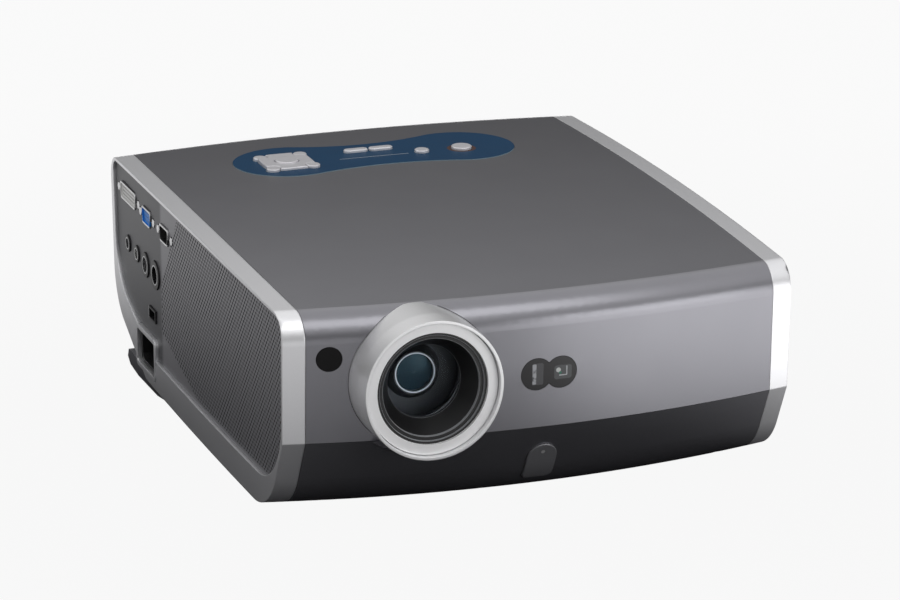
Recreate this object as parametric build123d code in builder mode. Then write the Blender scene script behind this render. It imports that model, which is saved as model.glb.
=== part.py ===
from build123d import *
import math
import os

# Office video projector. Millimetres, +Z up, +X to the right seen from the front,
# the lens looks along -Y. The floor is Z = 0 and the origin is the middle of the footprint.

# Casing, the driving sizes
BAND_X = 122.0          # half width of the dark middle casing at its front and rear ends
BAND_W = 11.0           # width of each silver side frame seen from the front
SIDE_BOW = 3.0          # how far the sides bow out at mid length
FRONT_Y = -160.9        # front face on the centre line, near the top
FRONT_BOW = 14.0        # how far the front face runs back at the ends of the middle casing
REAR_Y = 175.0          # rear face on the centre line
REAR_BOW = 4.5          # how far the rear face runs forward at the ends of the middle casing
FOOT_H = 6.0            # height of the underside above the floor
TOP_FRONT_Z = 115.6     # top edge over the front face on the centre line
TOP_REAR_Z = 116.4      # top edge over the rear face on the centre line
CROWN_Y = 2.9           # rise of the top at mid length
CROWN_X = 1.5           # fall of the top from the centre line to the side frames
SEAM_Z = 49.5           # parting line of top cover and bottom pan
WALL = 2.5              # wall of the mouldings
GAP = 0.2               # visible joint between mouldings
SKIN = 0.3              # clearance of a moving piece in its hole

# Casing, the outline seen from the side
FRONT_LEAN = 1.8        # the front face leans back this much from the top to the seam
TUCK_RUN = 22.0         # the front goes under by this much from the seam to the floor
FRONT_TOP_R = 14.0
FRONT_LOW_R = 38.0
REAR_RAMP_Y = 70.0      # the underside starts to rise this far ahead of the rear face
REAR_RAMP_Z = 27.0      # and would have risen this much at the rear face
REAR_LEAN = 5.0
REAR_LOW_R = 32.0
REAR_TOP_R = 12.0
MID_Y = 8.0             # where the side bow and the crown are largest

LIP_X = BAND_X + BAND_W
HULL_X = LIP_X + SIDE_BOW + 0.5
RAMP_SLOPE = REAR_RAMP_Z / (REAR_RAMP_Y - REAR_LEAN)


def bow_at(x):
    """Share of the bow at a distance from the centre line, 1 at the middle casing's ends."""
    return (x / BAND_X) ** 2


def front_y(x):
    return FRONT_Y + FRONT_BOW * bow_at(x)


def rear_y(x):
    return REAR_Y - REAR_BOW * bow_at(x)


def top_z(x, y):
    """Height of the crowned top."""
    share = (y - FRONT_Y) / (REAR_Y - FRONT_Y)
    straight = TOP_FRONT_Z + (TOP_REAR_Z - TOP_FRONT_Z) * share
    return straight + CROWN_Y * (1 - (2 * share - 1) ** 2) - CROWN_X * bow_at(x)


def underside_z(x, y):
    """Height of the underside: tucked up in front, flat, then rising to the rear."""
    tuck_turn = math.pi / 2 - math.atan2(TUCK_RUN, SEAM_Z - FOOT_H)
    arc_y = front_y(x) + FRONT_LEAN + TUCK_RUN + FRONT_LOW_R * math.tan(tuck_turn / 2)
    tuck = max(0, arc_y - y)
    ramp = max(0, y - rear_y(x) + REAR_RAMP_Y)
    return FOOT_H + FRONT_LOW_R - math.sqrt(FRONT_LOW_R ** 2 - tuck ** 2) + ramp * RAMP_SLOPE


def side_outline(x, inset):
    """Closed outline in the YZ plane at x, moved inwards by inset."""
    yf = front_y(x) + inset
    yr = rear_y(x) - inset
    crown_drop = CROWN_X * bow_at(x) + inset
    floor_z = FOOT_H + inset
    seam_y = yf + FRONT_LEAN
    front_top = (yf, TOP_FRONT_Z - crown_drop)
    rear_top = (yr, TOP_REAR_Z - crown_drop)
    top_mid = ((yf + yr) / 2, (front_top[1] + rear_top[1]) / 2 + CROWN_Y)
    crease = (seam_y, SEAM_Z)
    front_low = (seam_y + TUCK_RUN, floor_z)
    ramp = (yr - REAR_RAMP_Y, floor_z)
    rear_low = (yr - REAR_LEAN, floor_z + REAR_RAMP_Z)
    with BuildSketch(Plane.YZ.offset(x)) as outline:
        with BuildLine():
            ThreePointArc(rear_top, top_mid, front_top)
            Polyline(front_top, crease, front_low, ramp, rear_low, rear_top)
        make_face()
        corners = (
            (front_top, FRONT_TOP_R - inset),
            (front_low, FRONT_LOW_R - inset),
            (rear_low, REAR_LOW_R - inset),
            (rear_top, REAR_TOP_R - inset),
        )
        for (y, z), radius in corners:
            fillet(outline.vertices().sort_by_distance((y, z, 0))[0], radius=radius)
    return outline.sketch


def hull(inset):
    """The whole casing as one bowed solid, all its faces moved inwards by inset."""
    sections = [side_outline(x, inset) for x in (-HULL_X, 0, HULL_X)]
    with BuildPart() as form:
        for section in sections:
            add(section)
        loft()
    return form.part


def side_arc(x_end):
    """Plan outline of one side, bowed out at mid length."""
    y_low, y_high = FRONT_Y - 20, REAR_Y + 20
    return ThreePointArc((x_end, y_low), (x_end + math.copysign(SIDE_BOW, x_end), MID_Y), (x_end, y_high))


def plan_band(x_in, x_out):
    """Plan region between two bowed side lines."""
    with BuildSketch() as plan:
        with BuildLine():
            near = side_arc(x_in)
            far = side_arc(x_out)
            Line(near @ 0, far @ 0)
            Line(near @ 1, far @ 1)
        make_face()
    return plan.sketch


def piece(part, name):
    """Name a finished piece and write it."""
    part.label = name
    export_step(part, f"parts/{name}.step")


os.makedirs("parts", exist_ok=True)

outer_hull = hull(0)
inner_hull = hull(WALL)
middle_plan = plan_band(-BAND_X, BAND_X)

# Where things sit on the casing
LENS_X = -67.0
LENS_Z = 80.1
SENSOR_X = -112.0
SENSOR_Z = 92.8
SENSOR_R = 6.2
AUTOFOCUS_X = -2.3
AUTOFOCUS_Z = 77.3
AUTOFOCUS_R = 8.2
AUTOFOCUS_PITCH = 12.6
RELEASE_X = -2.0
RELEASE_W = 15.6
RELEASE_TOP_Z = 38.3
RELEASE_LOW_Z = 17.0
RELEASE_CORNER_R = 3.0
COLLAR_R = 35.7
LENS_HOLE_R = COLLAR_R + SKIN
FLARE_Y = -163.5        # front edge of the flare of the casing round the lens
FLARE_W = 3.2           # width of the flare where it meets the front face
BROW_FRONT_Z = 116.9    # top of the flare, a little above the hole of the lens
BROW_REAR_Z = 115.7     # the flare has sunk into the top here
BROW_L = 24.0

PLATE_X = -1.0
PLATE_Y = 109.0
PLATE_R = 30.5          # radius of the two round ends of the control plate
PLATE_HALF = 49.0       # half distance between the ends' centres
PLATE_WAIST_REAR = 20.5
PLATE_WAIST_FRONT = 23.8
PLATE_T = 1.0
PLATE_PROUD = 0.25


def control_outline(clearance):
    """Bone outline of the control plate: two round ends joined by hollow arcs."""
    r = PLATE_R + clearance
    with BuildSketch() as bone:
        with BuildLine():
            tangents = []
            for side, waist in ((1, PLATE_WAIST_REAR), (-1, PLATE_WAIST_FRONT)):
                a = waist + clearance
                hollow_r = (PLATE_HALF ** 2 - (r ** 2 - a ** 2)) / (2 * (r - a))
                rise = a + hollow_r
                share = r / (r + hollow_r)
                dx = PLATE_HALF * (1 - share)
                dy = side * rise * share
                left = (PLATE_X - dx, PLATE_Y + dy)
                right = (PLATE_X + dx, PLATE_Y + dy)
                ThreePointArc(left, (PLATE_X, PLATE_Y + side * a), right)
                tangents.append((left, right))
            ThreePointArc(tangents[0][0], (PLATE_X - PLATE_HALF - r, PLATE_Y), tangents[1][0])
            ThreePointArc(tangents[0][1], (PLATE_X + PLATE_HALF + r, PLATE_Y), tangents[1][1])
        make_face()
    return bone.sketch


# Buttons on the control plate: place, outline and how far they stand up
NAV_X = -52.4
NAV_Y = 105.8
NAV_W = 28.0
NAV_D = 29.0
NAV_CORNER_R = 9.0
OK_R = 6.3
CORNER_R = 3.8
CORNER_DX = 11.3
CORNER_DY = 12.0
NAV_PROUD = 1.6
OK_PROUD = 2.2
KEY_PROUD = 1.5
KEY_TRAVEL = 0.8
KEY_FLANGE = 1.0
OBLONG_L = 13.6
OBLONG_W = 5.0
OBLONG_X = (-9.8, 4.6)
OBLONG_Y = 115.6
ROUND_KEY_X = 24.2
ROUND_KEY_Y = 103.0
ROUND_KEY_R = 4.0
POWER_X = 47.4
POWER_Y = 103.4
POWER_R = 5.6


def round_key(r):
    with BuildSketch() as shape:
        Circle(r)
    return shape.sketch


def oblong_key(length, width):
    with BuildSketch() as shape:
        SlotOverall(length, width)
    return shape.sketch


def nav_pad(clearance):
    """Rounded square pad, hollowed round the four corner buttons and the middle button."""
    with BuildSketch() as shape:
        RectangleRounded(NAV_W + 2 * clearance, NAV_D + 2 * clearance, NAV_CORNER_R + clearance)
        with GridLocations(2 * CORNER_DX, 2 * CORNER_DY, 2, 2):
            Circle(CORNER_R + SKIN - clearance, mode=Mode.SUBTRACT)
    return shape.sketch


corner_places = [
    (NAV_X + side_x * CORNER_DX, NAV_Y + side_y * CORNER_DY) for side_y in (1, -1) for side_x in (-1, 1)
]
# name, place, outline of the cap, outline of its hole, height above the plate
keys = [
    ("nav_pad", (NAV_X, NAV_Y), nav_pad(0), nav_pad(SKIN), NAV_PROUD),
    ("ok_button", (NAV_X, NAV_Y), round_key(OK_R), round_key(OK_R), OK_PROUD),
    ("power_button", (POWER_X, POWER_Y), round_key(POWER_R), round_key(POWER_R + SKIN), KEY_PROUD),
    (
        "standby_key", (ROUND_KEY_X, ROUND_KEY_Y), round_key(ROUND_KEY_R), round_key(ROUND_KEY_R + SKIN),
        KEY_PROUD,
    ),
]
for number, place in enumerate(corner_places, 1):
    keys.append((
        f"corner_button_{number}", place, round_key(CORNER_R), round_key(CORNER_R + SKIN), KEY_PROUD,
    ))
for number, x in enumerate(OBLONG_X, 1):
    keys.append((
        f"oblong_button_{number}", (x, OBLONG_Y), oblong_key(OBLONG_L, OBLONG_W),
        oblong_key(OBLONG_L + 2 * SKIN, OBLONG_W + 2 * SKIN), KEY_PROUD,
    ))

# Screws and their bosses
SCREW_R = 1.5
SCREW_HEAD_R = 3.0
BOSS_R = 4.5
BOSS_X = 106.0
BOSS_Y = (-118.0, 148.0)
boss_places = [(side * BOSS_X, y) for side in (-1, 1) for y in BOSS_Y]


def boss_low_z(x, y):
    """Lower end of a screw boss, just inside the underside."""
    return max(underside_z(x, y - BOSS_R), underside_z(x, y + BOSS_R)) + SKIN


# Sensor windows and the release button, drawn as the front shows them: X to the right, Y up


def sensor_shape(clearance):
    with BuildSketch() as shape:
        with Locations((SENSOR_X, SENSOR_Z)):
            Circle(SENSOR_R + clearance)
    return shape.sketch


def autofocus_shape(clearance):
    with BuildSketch() as shape:
        for side in (-1, 1):
            with Locations((AUTOFOCUS_X + side * AUTOFOCUS_PITCH / 2, AUTOFOCUS_Z)):
                Circle(AUTOFOCUS_R + clearance)
    return shape.sketch


def release_shape(clearance):
    """Tombstone outline: round on top, small corner radii below."""
    half = RELEASE_W / 2
    straight = RELEASE_TOP_Z - half - RELEASE_LOW_Z
    with BuildSketch() as shape:
        with Locations((RELEASE_X, RELEASE_LOW_Z + straight / 2)):
            Rectangle(RELEASE_W, straight)
        with Locations((RELEASE_X, RELEASE_TOP_Z - half)):
            Circle(half)
        fillet(shape.vertices().sort_by(Axis.Y)[:2], radius=RELEASE_CORNER_R)
        if clearance:
            offset(amount=clearance)
    return shape.sketch


def lens_hole():
    with BuildSketch() as shape:
        with Locations((LENS_X, LENS_Z)):
            Circle(LENS_HOLE_R)
    return shape.sketch


LENS_AXIS = Axis((LENS_X, 0, LENS_Z), (0, 1, 0))
LENS_PLANE = Plane(origin=(LENS_X, 0, LENS_Z), x_dir=(1, 0, 0), z_dir=(0, 0, 1))


def turned(points):
    """Solid of revolution about the lens axis from radius and Y pairs."""
    with BuildPart() as solid:
        with BuildSketch(LENS_PLANE):
            with BuildLine():
                Polyline(*points, close=True)
            make_face()
        revolve(axis=LENS_AXIS)
    return solid.part


def block(x, y, z, mode=Mode.ADD):
    """Block between two X, two Y and two Z values in the part being built."""
    with Locations(((x[0] + x[1]) / 2, (y[0] + y[1]) / 2, (z[0] + z[1]) / 2)):
        Box(x[1] - x[0], y[1] - y[0], z[1] - z[0], mode=mode)


# Flare of the casing that meets the lens collar in one plane
with BuildPart() as lens_flare:
    add(turned([
        (LENS_HOLE_R - 1.0, FLARE_Y), (LENS_HOLE_R + 0.2 * FLARE_W, FLARE_Y),
        (LENS_HOLE_R + 0.45 * FLARE_W, FLARE_Y + 1.2), (LENS_HOLE_R + 0.7 * FLARE_W, FLARE_Y + 4.0),
        (LENS_HOLE_R + FLARE_W, FLARE_Y + 10.0), (LENS_HOLE_R + 1.5 * FLARE_W, FLARE_Y + 17.0),
        (LENS_HOLE_R - 1.0, FLARE_Y + 2 * BROW_L),
    ]))
    add(inner_hull, mode=Mode.SUBTRACT)
    with BuildSketch(Plane.YZ.offset(-BAND_X)):
        with BuildLine():
            brow_end_y = FLARE_Y + 3 * BROW_L
            brow_end_z = BROW_FRONT_Z + 3 * (BROW_REAR_Z - BROW_FRONT_Z)
            Polyline(
                (FLARE_Y - 1, BROW_FRONT_Z), (brow_end_y, brow_end_z), (brow_end_y, 2 * LENS_Z),
                (FLARE_Y - 1, 2 * LENS_Z), close=True,
            )
        make_face()
    extrude(amount=BAND_X, mode=Mode.SUBTRACT)

FRONT_PLANE = Plane.XZ.offset(-FRONT_Y - FRONT_BOW)
FRONT_REACH = 25.0      # half depth of the cuts through the front wall

# Places under the casing
LEG_Y = -92.0
LEG_W = 15.0
LEG_D = 9.0
LEG_TOP_Z = 58.0
LEG_SLEEVE_WALL = 2.0
LEG_SLEEVE_Z = 50.0
REAR_FOOT_X = 98.0
REAR_FOOT_Y = 86.0
STUD_R = 3.0
STUD_FIT = 0.06
STUD_TOP_Z = 24.0
CEILING_X = 95.0        # half spacing of the four ceiling-mount threads across
CEILING_Y = (-75.0, 35.0)
CEILING_R = 2.0
CEILING_DEPTH = 8.0
CEILING_BOSS_Z = 16.0
DOOR_T = 2.0
LEDGE_W = 3.0
LEDGE_T = 2.4
SCREW_REACH = 15.0      # the screws end this far above the seam
LAMP_X = 50.0
LAMP_Y = 57.0
LAMP_DOOR = (56.0, 66.0)
LAMP_FLANGE_T = 2.0
FILTER_X = -58.0
FILTER_Y = -72.0
FILTER_DOOR = (54.0, 54.0)
FILTER_T = 5.0
FAN_SEAT_Z = 14.0
BOARD_POST_R = 3.0
MAIN_BOARD = (-100.0, 14.0, 96.0, 140.0)
MAIN_BOARD_Z = 33.0
TERMINAL_BOARD_X = -116.0
TERMINAL_BOARD_Y = (42.0, 152.0)
TERMINAL_BOARD_Z = (33.0, 108.0)
BOARD_T = 1.6
EXHAUST_SIZE = 80.0
EXHAUST_T = 25.0
EXHAUST_X = 104.0
EXHAUST_Y = 82.0
EXHAUST_Z = 64.0
KEY_BOARD = (-75.0, 60.0, 87.0, 127.0)
KEY_BOARD_Z = 104.0
KEY_POST_R = 2.5
FAIRING_X = (134.5, 121.0)  # carry under the power inlet, outside the left side frame
FAIRING_JOIN_Y = (64.0, 96.0)
FAIRING = (
    (58.0, 5.7), (80.0, 2.6), (118.0, 2.0), (134.0, 3.6), (139.0, 7.0),
    (137.0, 11.5), (130.0, 12.0), (118.0, 9.2), (110.0, 8.8), (100.0, 5.7),
)
key_posts = [(x, y) for x in (KEY_BOARD[0] + 3, KEY_BOARD[1] - 3) for y in (KEY_BOARD[2] + 3, KEY_BOARD[3] - 3)]

lamp_ledge_z = FOOT_H + DOOR_T + 2 * SKIN + LAMP_FLANGE_T
hatches = (
    ((LAMP_X, LAMP_Y), LAMP_DOOR, lamp_ledge_z, lamp_ledge_z + LEDGE_T),
    ((FILTER_X, FILTER_Y), FILTER_DOOR, FOOT_H + DOOR_T + SKIN, FAN_SEAT_Z),
)

with BuildPart() as flare_upper:
    add(lens_flare.part)
    block((-BAND_X, 0), (FLARE_Y, 0), (0, SEAM_Z + GAP / 2), mode=Mode.SUBTRACT)
flare_above = flare_upper.part
with BuildPart() as flare_lower:
    add(lens_flare.part)
    block((-BAND_X, 0), (FLARE_Y, 0), (SEAM_Z - GAP / 2, TOP_REAR_Z + WALL), mode=Mode.SUBTRACT)
flare_below = flare_lower.part

# Top cover: the dark upper shell with pocket, key holes, front openings and screw bosses
plate_floor = hull(PLATE_T)
with BuildPart() as plate_pocket:
    with BuildSketch(Plane.XY.offset(SEAM_Z)):
        add(control_outline(GAP))
    extrude(amount=TOP_REAR_Z)
    add(plate_floor, mode=Mode.SUBTRACT)

with BuildPart() as top_cover:
    add(outer_hull)
    add(inner_hull, mode=Mode.SUBTRACT)
    with BuildSketch(Plane.XY.offset(SEAM_Z + GAP / 2)):
        add(middle_plan)
    extrude(amount=TOP_REAR_Z, mode=Mode.INTERSECT)
    add(flare_above)
    add(plate_pocket.part, mode=Mode.SUBTRACT)
    for x, y in boss_places:
        with BuildSketch(Plane.XY.offset(SEAM_Z + GAP / 2)):
            with Locations((x, y)):
                Circle(BOSS_R)
        extrude(amount=top_z(x, y) - WALL / 2 - SEAM_Z)
        with BuildSketch(Plane.XY.offset(SEAM_Z + GAP / 2)):
            with Locations((x, y)):
                Circle(SCREW_R)
        extrude(amount=SCREW_REACH + WALL, mode=Mode.SUBTRACT)
    for x, y in key_posts:
        with BuildSketch(Plane.XY.offset(KEY_BOARD_Z + SKIN / 10)):
            with Locations((x, y)):
                Circle(KEY_POST_R)
        extrude(amount=top_z(x, y) - WALL * 0.75 - KEY_BOARD_Z - SKIN / 10)
    for name, place, cap, hole, proud in keys:
        with BuildSketch(Plane.XY.offset(KEY_BOARD_Z + WALL)):
            with Locations(place):
                add(hole)
        extrude(amount=TOP_REAR_Z, mode=Mode.SUBTRACT)
    for shape in (sensor_shape(GAP), autofocus_shape(GAP), lens_hole()):
        with BuildSketch(FRONT_PLANE):
            add(shape)
        extrude(amount=FRONT_REACH, both=True, mode=Mode.SUBTRACT)
piece(top_cover.part, "top_cover")

# Bottom pan: floor, tucked-under front, rising rear, and everything that stands on the floor
with BuildPart() as bottom_pan:
    add(outer_hull)
    add(inner_hull, mode=Mode.SUBTRACT)
    with BuildSketch():
        add(middle_plan)
    extrude(amount=SEAM_Z - GAP / 2, mode=Mode.INTERSECT)
    add(flare_below)
    floor_z = FOOT_H + WALL / 2
    for x, y in boss_places:
        low_z = boss_low_z(x, y)
        with BuildSketch(Plane.XY.offset(low_z)):
            with Locations((x, y)):
                Circle(BOSS_R)
        extrude(amount=SEAM_Z - GAP / 2 - low_z)
        with BuildSketch():
            with Locations((x, y)):
                Circle(SCREW_R + SKIN)
        extrude(amount=SEAM_Z, mode=Mode.SUBTRACT)
        with BuildSketch():
            with Locations((x, y)):
                Circle(SCREW_HEAD_R + SKIN)
        extrude(amount=low_z + WALL, mode=Mode.SUBTRACT)
    for x in (-CEILING_X, CEILING_X):
        for y in CEILING_Y:
            with BuildSketch(Plane.XY.offset(floor_z)):
                with Locations((x, y)):
                    Circle(BOSS_R)
            extrude(amount=CEILING_BOSS_Z - floor_z)
            with BuildSketch(Plane.XY.offset(FOOT_H)):
                with Locations((x, y)):
                    Circle(CEILING_R)
            extrude(amount=CEILING_DEPTH, mode=Mode.SUBTRACT)
    for centre, (size_x, size_y), under_z, top in hatches:
        with BuildSketch(Plane.XY.offset(floor_z)):
            with Locations(centre):
                Rectangle(size_x + 2 * LEDGE_W, size_y + 2 * LEDGE_W)
        extrude(amount=top - floor_z)
        with BuildSketch():
            with Locations(centre):
                Rectangle(size_x + 2 * SKIN, size_y + 2 * SKIN)
        extrude(amount=under_z, mode=Mode.SUBTRACT)
        with BuildSketch():
            with Locations(centre):
                Rectangle(size_x - 2 * LEDGE_W, size_y - 2 * LEDGE_W)
        extrude(amount=SEAM_Z, mode=Mode.SUBTRACT)
    with BuildSketch(Plane.XY.offset(floor_z)):
        with Locations((RELEASE_X, LEG_Y)):
            Rectangle(LEG_W + 2 * SKIN + 2 * LEG_SLEEVE_WALL, LEG_D + 2 * SKIN + 2 * LEG_SLEEVE_WALL)
    extrude(amount=LEG_SLEEVE_Z - floor_z)
    with BuildSketch():
        with Locations((RELEASE_X, LEG_Y)):
            Rectangle(LEG_W + 2 * SKIN, LEG_D + 2 * SKIN)
    extrude(amount=SEAM_Z + WALL, mode=Mode.SUBTRACT)
    with BuildSketch(Plane.XY.offset(floor_z)):
        with Locations((REAR_FOOT_X, REAR_FOOT_Y)):
            Circle(2 * STUD_R)
    extrude(amount=STUD_TOP_Z - floor_z)
    with BuildSketch():
        with Locations((REAR_FOOT_X, REAR_FOOT_Y)):
            Circle(STUD_R + STUD_FIT)
    extrude(amount=SEAM_Z, mode=Mode.SUBTRACT)
    board_posts = [(x, y) for x in MAIN_BOARD[:2] for y in MAIN_BOARD[2:]]
    for side_x, side_y, (x, y) in zip((1, 1, -1, -1), (1, -1, 1, -1), board_posts):
        place = (x + side_x * BOARD_POST_R, y + side_y * BOARD_POST_R)
        low_z = underside_z(*place) + WALL / 2
        with BuildSketch(Plane.XY.offset(low_z)):
            with Locations(place):
                Circle(BOARD_POST_R)
        extrude(amount=MAIN_BOARD_Z - low_z)
    for y in (TERMINAL_BOARD_Y[0] + BOSS_R, TERMINAL_BOARD_Y[1] - 6 * BOSS_R):
        place = (TERMINAL_BOARD_X, y)
        low_z = underside_z(*place) + WALL / 2
        with BuildSketch(Plane.XY.offset(low_z)):
            with Locations(place):
                Circle(BOARD_POST_R)
        extrude(amount=TERMINAL_BOARD_Z[0] - low_z)
    for y in (EXHAUST_Y - EXHAUST_SIZE / 2 + BOSS_R, EXHAUST_Y + EXHAUST_SIZE / 2 - BOSS_R):
        low_z = underside_z(EXHAUST_X, y) + WALL / 2
        with BuildSketch(Plane.XY.offset(low_z)):
            with Locations((EXHAUST_X, y)):
                Rectangle(EXHAUST_T, WALL)
        extrude(amount=EXHAUST_Z - EXHAUST_SIZE / 2 - low_z)
    with BuildSketch(Plane.YZ.offset(-FAIRING_X[0])):
        with BuildLine():
            Polyline(*FAIRING, close=True)
        make_face()
    extrude(amount=FAIRING_X[0] - FAIRING_X[1])
    block((-BAND_X + GAP, -FAIRING_X[1] + 2 * WALL), FAIRING_JOIN_Y, (FOOT_H - WALL / 2, FOOT_H + SKIN))
    for shape in (release_shape(SKIN), lens_hole()):
        with BuildSketch(FRONT_PLANE):
            add(shape)
        extrude(amount=FRONT_REACH, both=True, mode=Mode.SUBTRACT)
piece(bottom_pan.part, "bottom_pan")

# Side frames and side panels
RIM_FRONT = 2.5         # from the front face to the rim of the side opening
RIM_TOP = 2.0
RIM_LOW_Z = 22.5
RIM_REAR = 5.0
RIM_RAMP_Y = 85.0       # the rim's lower edge starts to rise here
RIM_RAMP_END = (158.0, 47.0)
RIM_LEAN = 5.0
RIM_RADII = (8.0, 38.0, 34.0, 7.0)
PANEL_RECESS = 1.5
PANEL_T = 2.5
PANEL_LEDGE = 3.0
INLET_Y = 97.0
INLET_Z = 22.0
INLET_W = 38.0
INLET_H = 24.0
INLET_WALL = 2.6
INLET_R = 4.2
SIDE_MID_X = LIP_X - BAND_W / 2


def rim_outline(clearance):
    """Outline of the side opening in the YZ plane, made smaller by the clearance."""
    y_front = front_y(LIP_X) + RIM_FRONT + clearance
    y_rear = rear_y(LIP_X) - RIM_REAR - clearance
    y_mid = (y_front + y_rear) / 2
    low_z = RIM_LOW_Z + clearance
    ramp_y, ramp_z = RIM_RAMP_END
    top_drop = RIM_TOP + clearance
    front_top = (y_front, top_z(LIP_X, y_front) - top_drop)
    rear_top = (y_rear, top_z(LIP_X, y_rear) - top_drop)
    front_low = (y_front + FRONT_LEAN, low_z)
    rear_low = (y_rear - RIM_LEAN, ramp_z + clearance)
    with BuildSketch() as outline:
        with BuildLine():
            ThreePointArc(rear_top, (y_mid, top_z(LIP_X, y_mid) - top_drop), front_top)
            Polyline(front_top, front_low, (RIM_RAMP_Y, low_z), rear_low, rear_top)
        make_face()
        for (y, z), radius in zip((front_top, front_low, rear_low, rear_top), RIM_RADII):
            fillet(outline.vertices().sort_by_distance((y, z, 0))[0], radius=radius - clearance)
    return outline.sketch


def side_slab(shape, side, x_in, x_out):
    """A side-view shape made solid between two bowed side lines."""
    with BuildPart() as slab:
        with BuildSketch(Plane.YZ.offset(side * SIDE_MID_X)):
            add(shape)
        extrude(amount=2 * BAND_W, both=True)
        with BuildSketch():
            add(plan_band(side * x_in, side * x_out))
        extrude(amount=TOP_REAR_Z + WALL, mode=Mode.INTERSECT)
    return slab.part


def inlet_outline(clearance):
    with BuildSketch() as outline:
        with Locations((INLET_Y, INLET_Z)):
            RectangleRounded(INLET_W + 2 * clearance, INLET_H + 2 * clearance, INLET_R + clearance)
    return outline.sketch


panel_x_out = LIP_X - PANEL_RECESS
panel_x_in = panel_x_out - PANEL_T


def side_frame(side):
    """Silver ring between the middle casing and the side panel, with a ledge behind the panel."""
    with BuildPart() as frame:
        add(outer_hull)
        with BuildSketch():
            add(plan_band(side * (BAND_X + GAP), side * LIP_X))
        extrude(amount=TOP_REAR_Z + WALL, mode=Mode.INTERSECT)
        add(side_slab(rim_outline(0), side, panel_x_in - GAP, LIP_X + BAND_W), mode=Mode.SUBTRACT)
        add(side_slab(rim_outline(PANEL_LEDGE), side, BAND_X - BAND_W, LIP_X), mode=Mode.SUBTRACT)
        if side < 0:
            with BuildSketch(Plane.YZ.offset(-BAND_X + BAND_W)):
                add(inlet_outline(GAP))
            extrude(amount=-3 * BAND_W, mode=Mode.SUBTRACT)
    return frame.part


piece(side_frame(-1), "left_side_frame")
piece(side_frame(1), "right_side_frame")

# Sockets on the left side, in the side view: place along Y and Z
DVI = (134.0, 100.0)
VGA = (95.5, 98.5)
SERIAL = (60.0, 98.5)
DVI_W = 31.0
DVI_H = 9.4
DSUB_W = 17.0
DSUB_H = 9.4
SOCKET_WALL = 1.0
SOCKET_DEPTH = 8.0
SOCKET_FACE = 1.0       # the sockets stand this much proud of the side panel
JACKSCREW_R = 2.4
JACKSCREW_OFF = 4.0
JACKS = ((137.0, 72.0, 4.6), (118.0, 71.5, 4.6), (100.0, 70.5, 6.8), (80.0, 70.5, 7.8))
JACK_BORE = 0.62        # share of a jack's radius that is open
SERVICE = (86.5, 46.5)
SERVICE_W = 13.0
SERVICE_H = 7.0


def dsub_outline(width, height, clearance):
    """D-shaped shell outline: the top edge is longer than the bottom edge."""
    w, h = width / 2 + clearance, height / 2 + clearance
    lean = height * 0.18
    with BuildSketch() as outline:
        with BuildLine():
            Polyline((-w, h), (w, h), (w - lean, -h), (-w + lean, -h), close=True)
        make_face()
        fillet(outline.vertices(), radius=height * 0.2)
    return outline.sketch


video_sockets = (("dvi_socket", DVI, DVI_W, DVI_H), ("vga_socket", VGA, DSUB_W, DSUB_H),
                 ("serial_socket", SERIAL, DSUB_W, DSUB_H))


def side_panel(side):
    """Dark panel in the side frame; the left one has the holes of the sockets."""
    with BuildPart() as panel:
        add(side_slab(rim_outline(GAP), side, panel_x_in, panel_x_out))
        if side < 0:
            with BuildSketch(Plane.YZ.offset(-panel_x_in + BAND_W)):
                for name, place, width, height in video_sockets:
                    with Locations(place):
                        add(dsub_outline(width, height, SKIN))
                    screw_off = width / 2 + JACKSCREW_OFF
                    with Locations([(place[0] + end * screw_off, place[1]) for end in (-1, 1)]):
                        Circle(JACKSCREW_R + SKIN)
                for y, z, r in JACKS:
                    with Locations((y, z)):
                        Circle(r + SKIN)
                with Locations(SERVICE):
                    Rectangle(SERVICE_W + 2 * SKIN, SERVICE_H + 2 * SKIN)
                add(inlet_outline(GAP))
            extrude(amount=-3 * BAND_W, mode=Mode.SUBTRACT)
    return panel.part


piece(side_panel(-1), "left_side_panel")
piece(side_panel(1), "right_side_panel")

# Control plate: thin blue plate that follows the crowned top, let into its pocket
with BuildPart() as control_plate:
    with BuildSketch(Plane.XY.offset(KEY_BOARD_Z)):
        add(control_outline(0))
        for name, place, cap, hole, proud in keys:
            with Locations(place):
                add(hole, mode=Mode.SUBTRACT)
    extrude(amount=2 * WALL + TOP_REAR_Z - KEY_BOARD_Z)
    add(hull(-PLATE_PROUD), mode=Mode.INTERSECT)
    add(plate_floor, mode=Mode.SUBTRACT)
piece(control_plate.part, "control_plate")


def front_insert(shape, proud, depth):
    """A piece let into the front: its shape between two skins of the casing."""
    with BuildPart() as insert:
        with BuildSketch(FRONT_PLANE):
            add(shape)
        extrude(amount=FRONT_REACH, both=True)
        add(hull(-proud), mode=Mode.INTERSECT)
        add(hull(depth), mode=Mode.SUBTRACT)
        front = insert.solids().sort_by(Axis.Y)[0]
    return Part(front.wrapped)


WINDOW_T = 2.2
RELEASE_PROUD = 0.8
RELEASE_DEPTH = 4.5
piece(front_insert(sensor_shape(0), 0, WINDOW_T), "sensor_window")
piece(front_insert(autofocus_shape(0), 0, WINDOW_T), "autofocus_window")
piece(front_insert(release_shape(0), RELEASE_PROUD, RELEASE_DEPTH), "leg_release_button")

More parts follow.
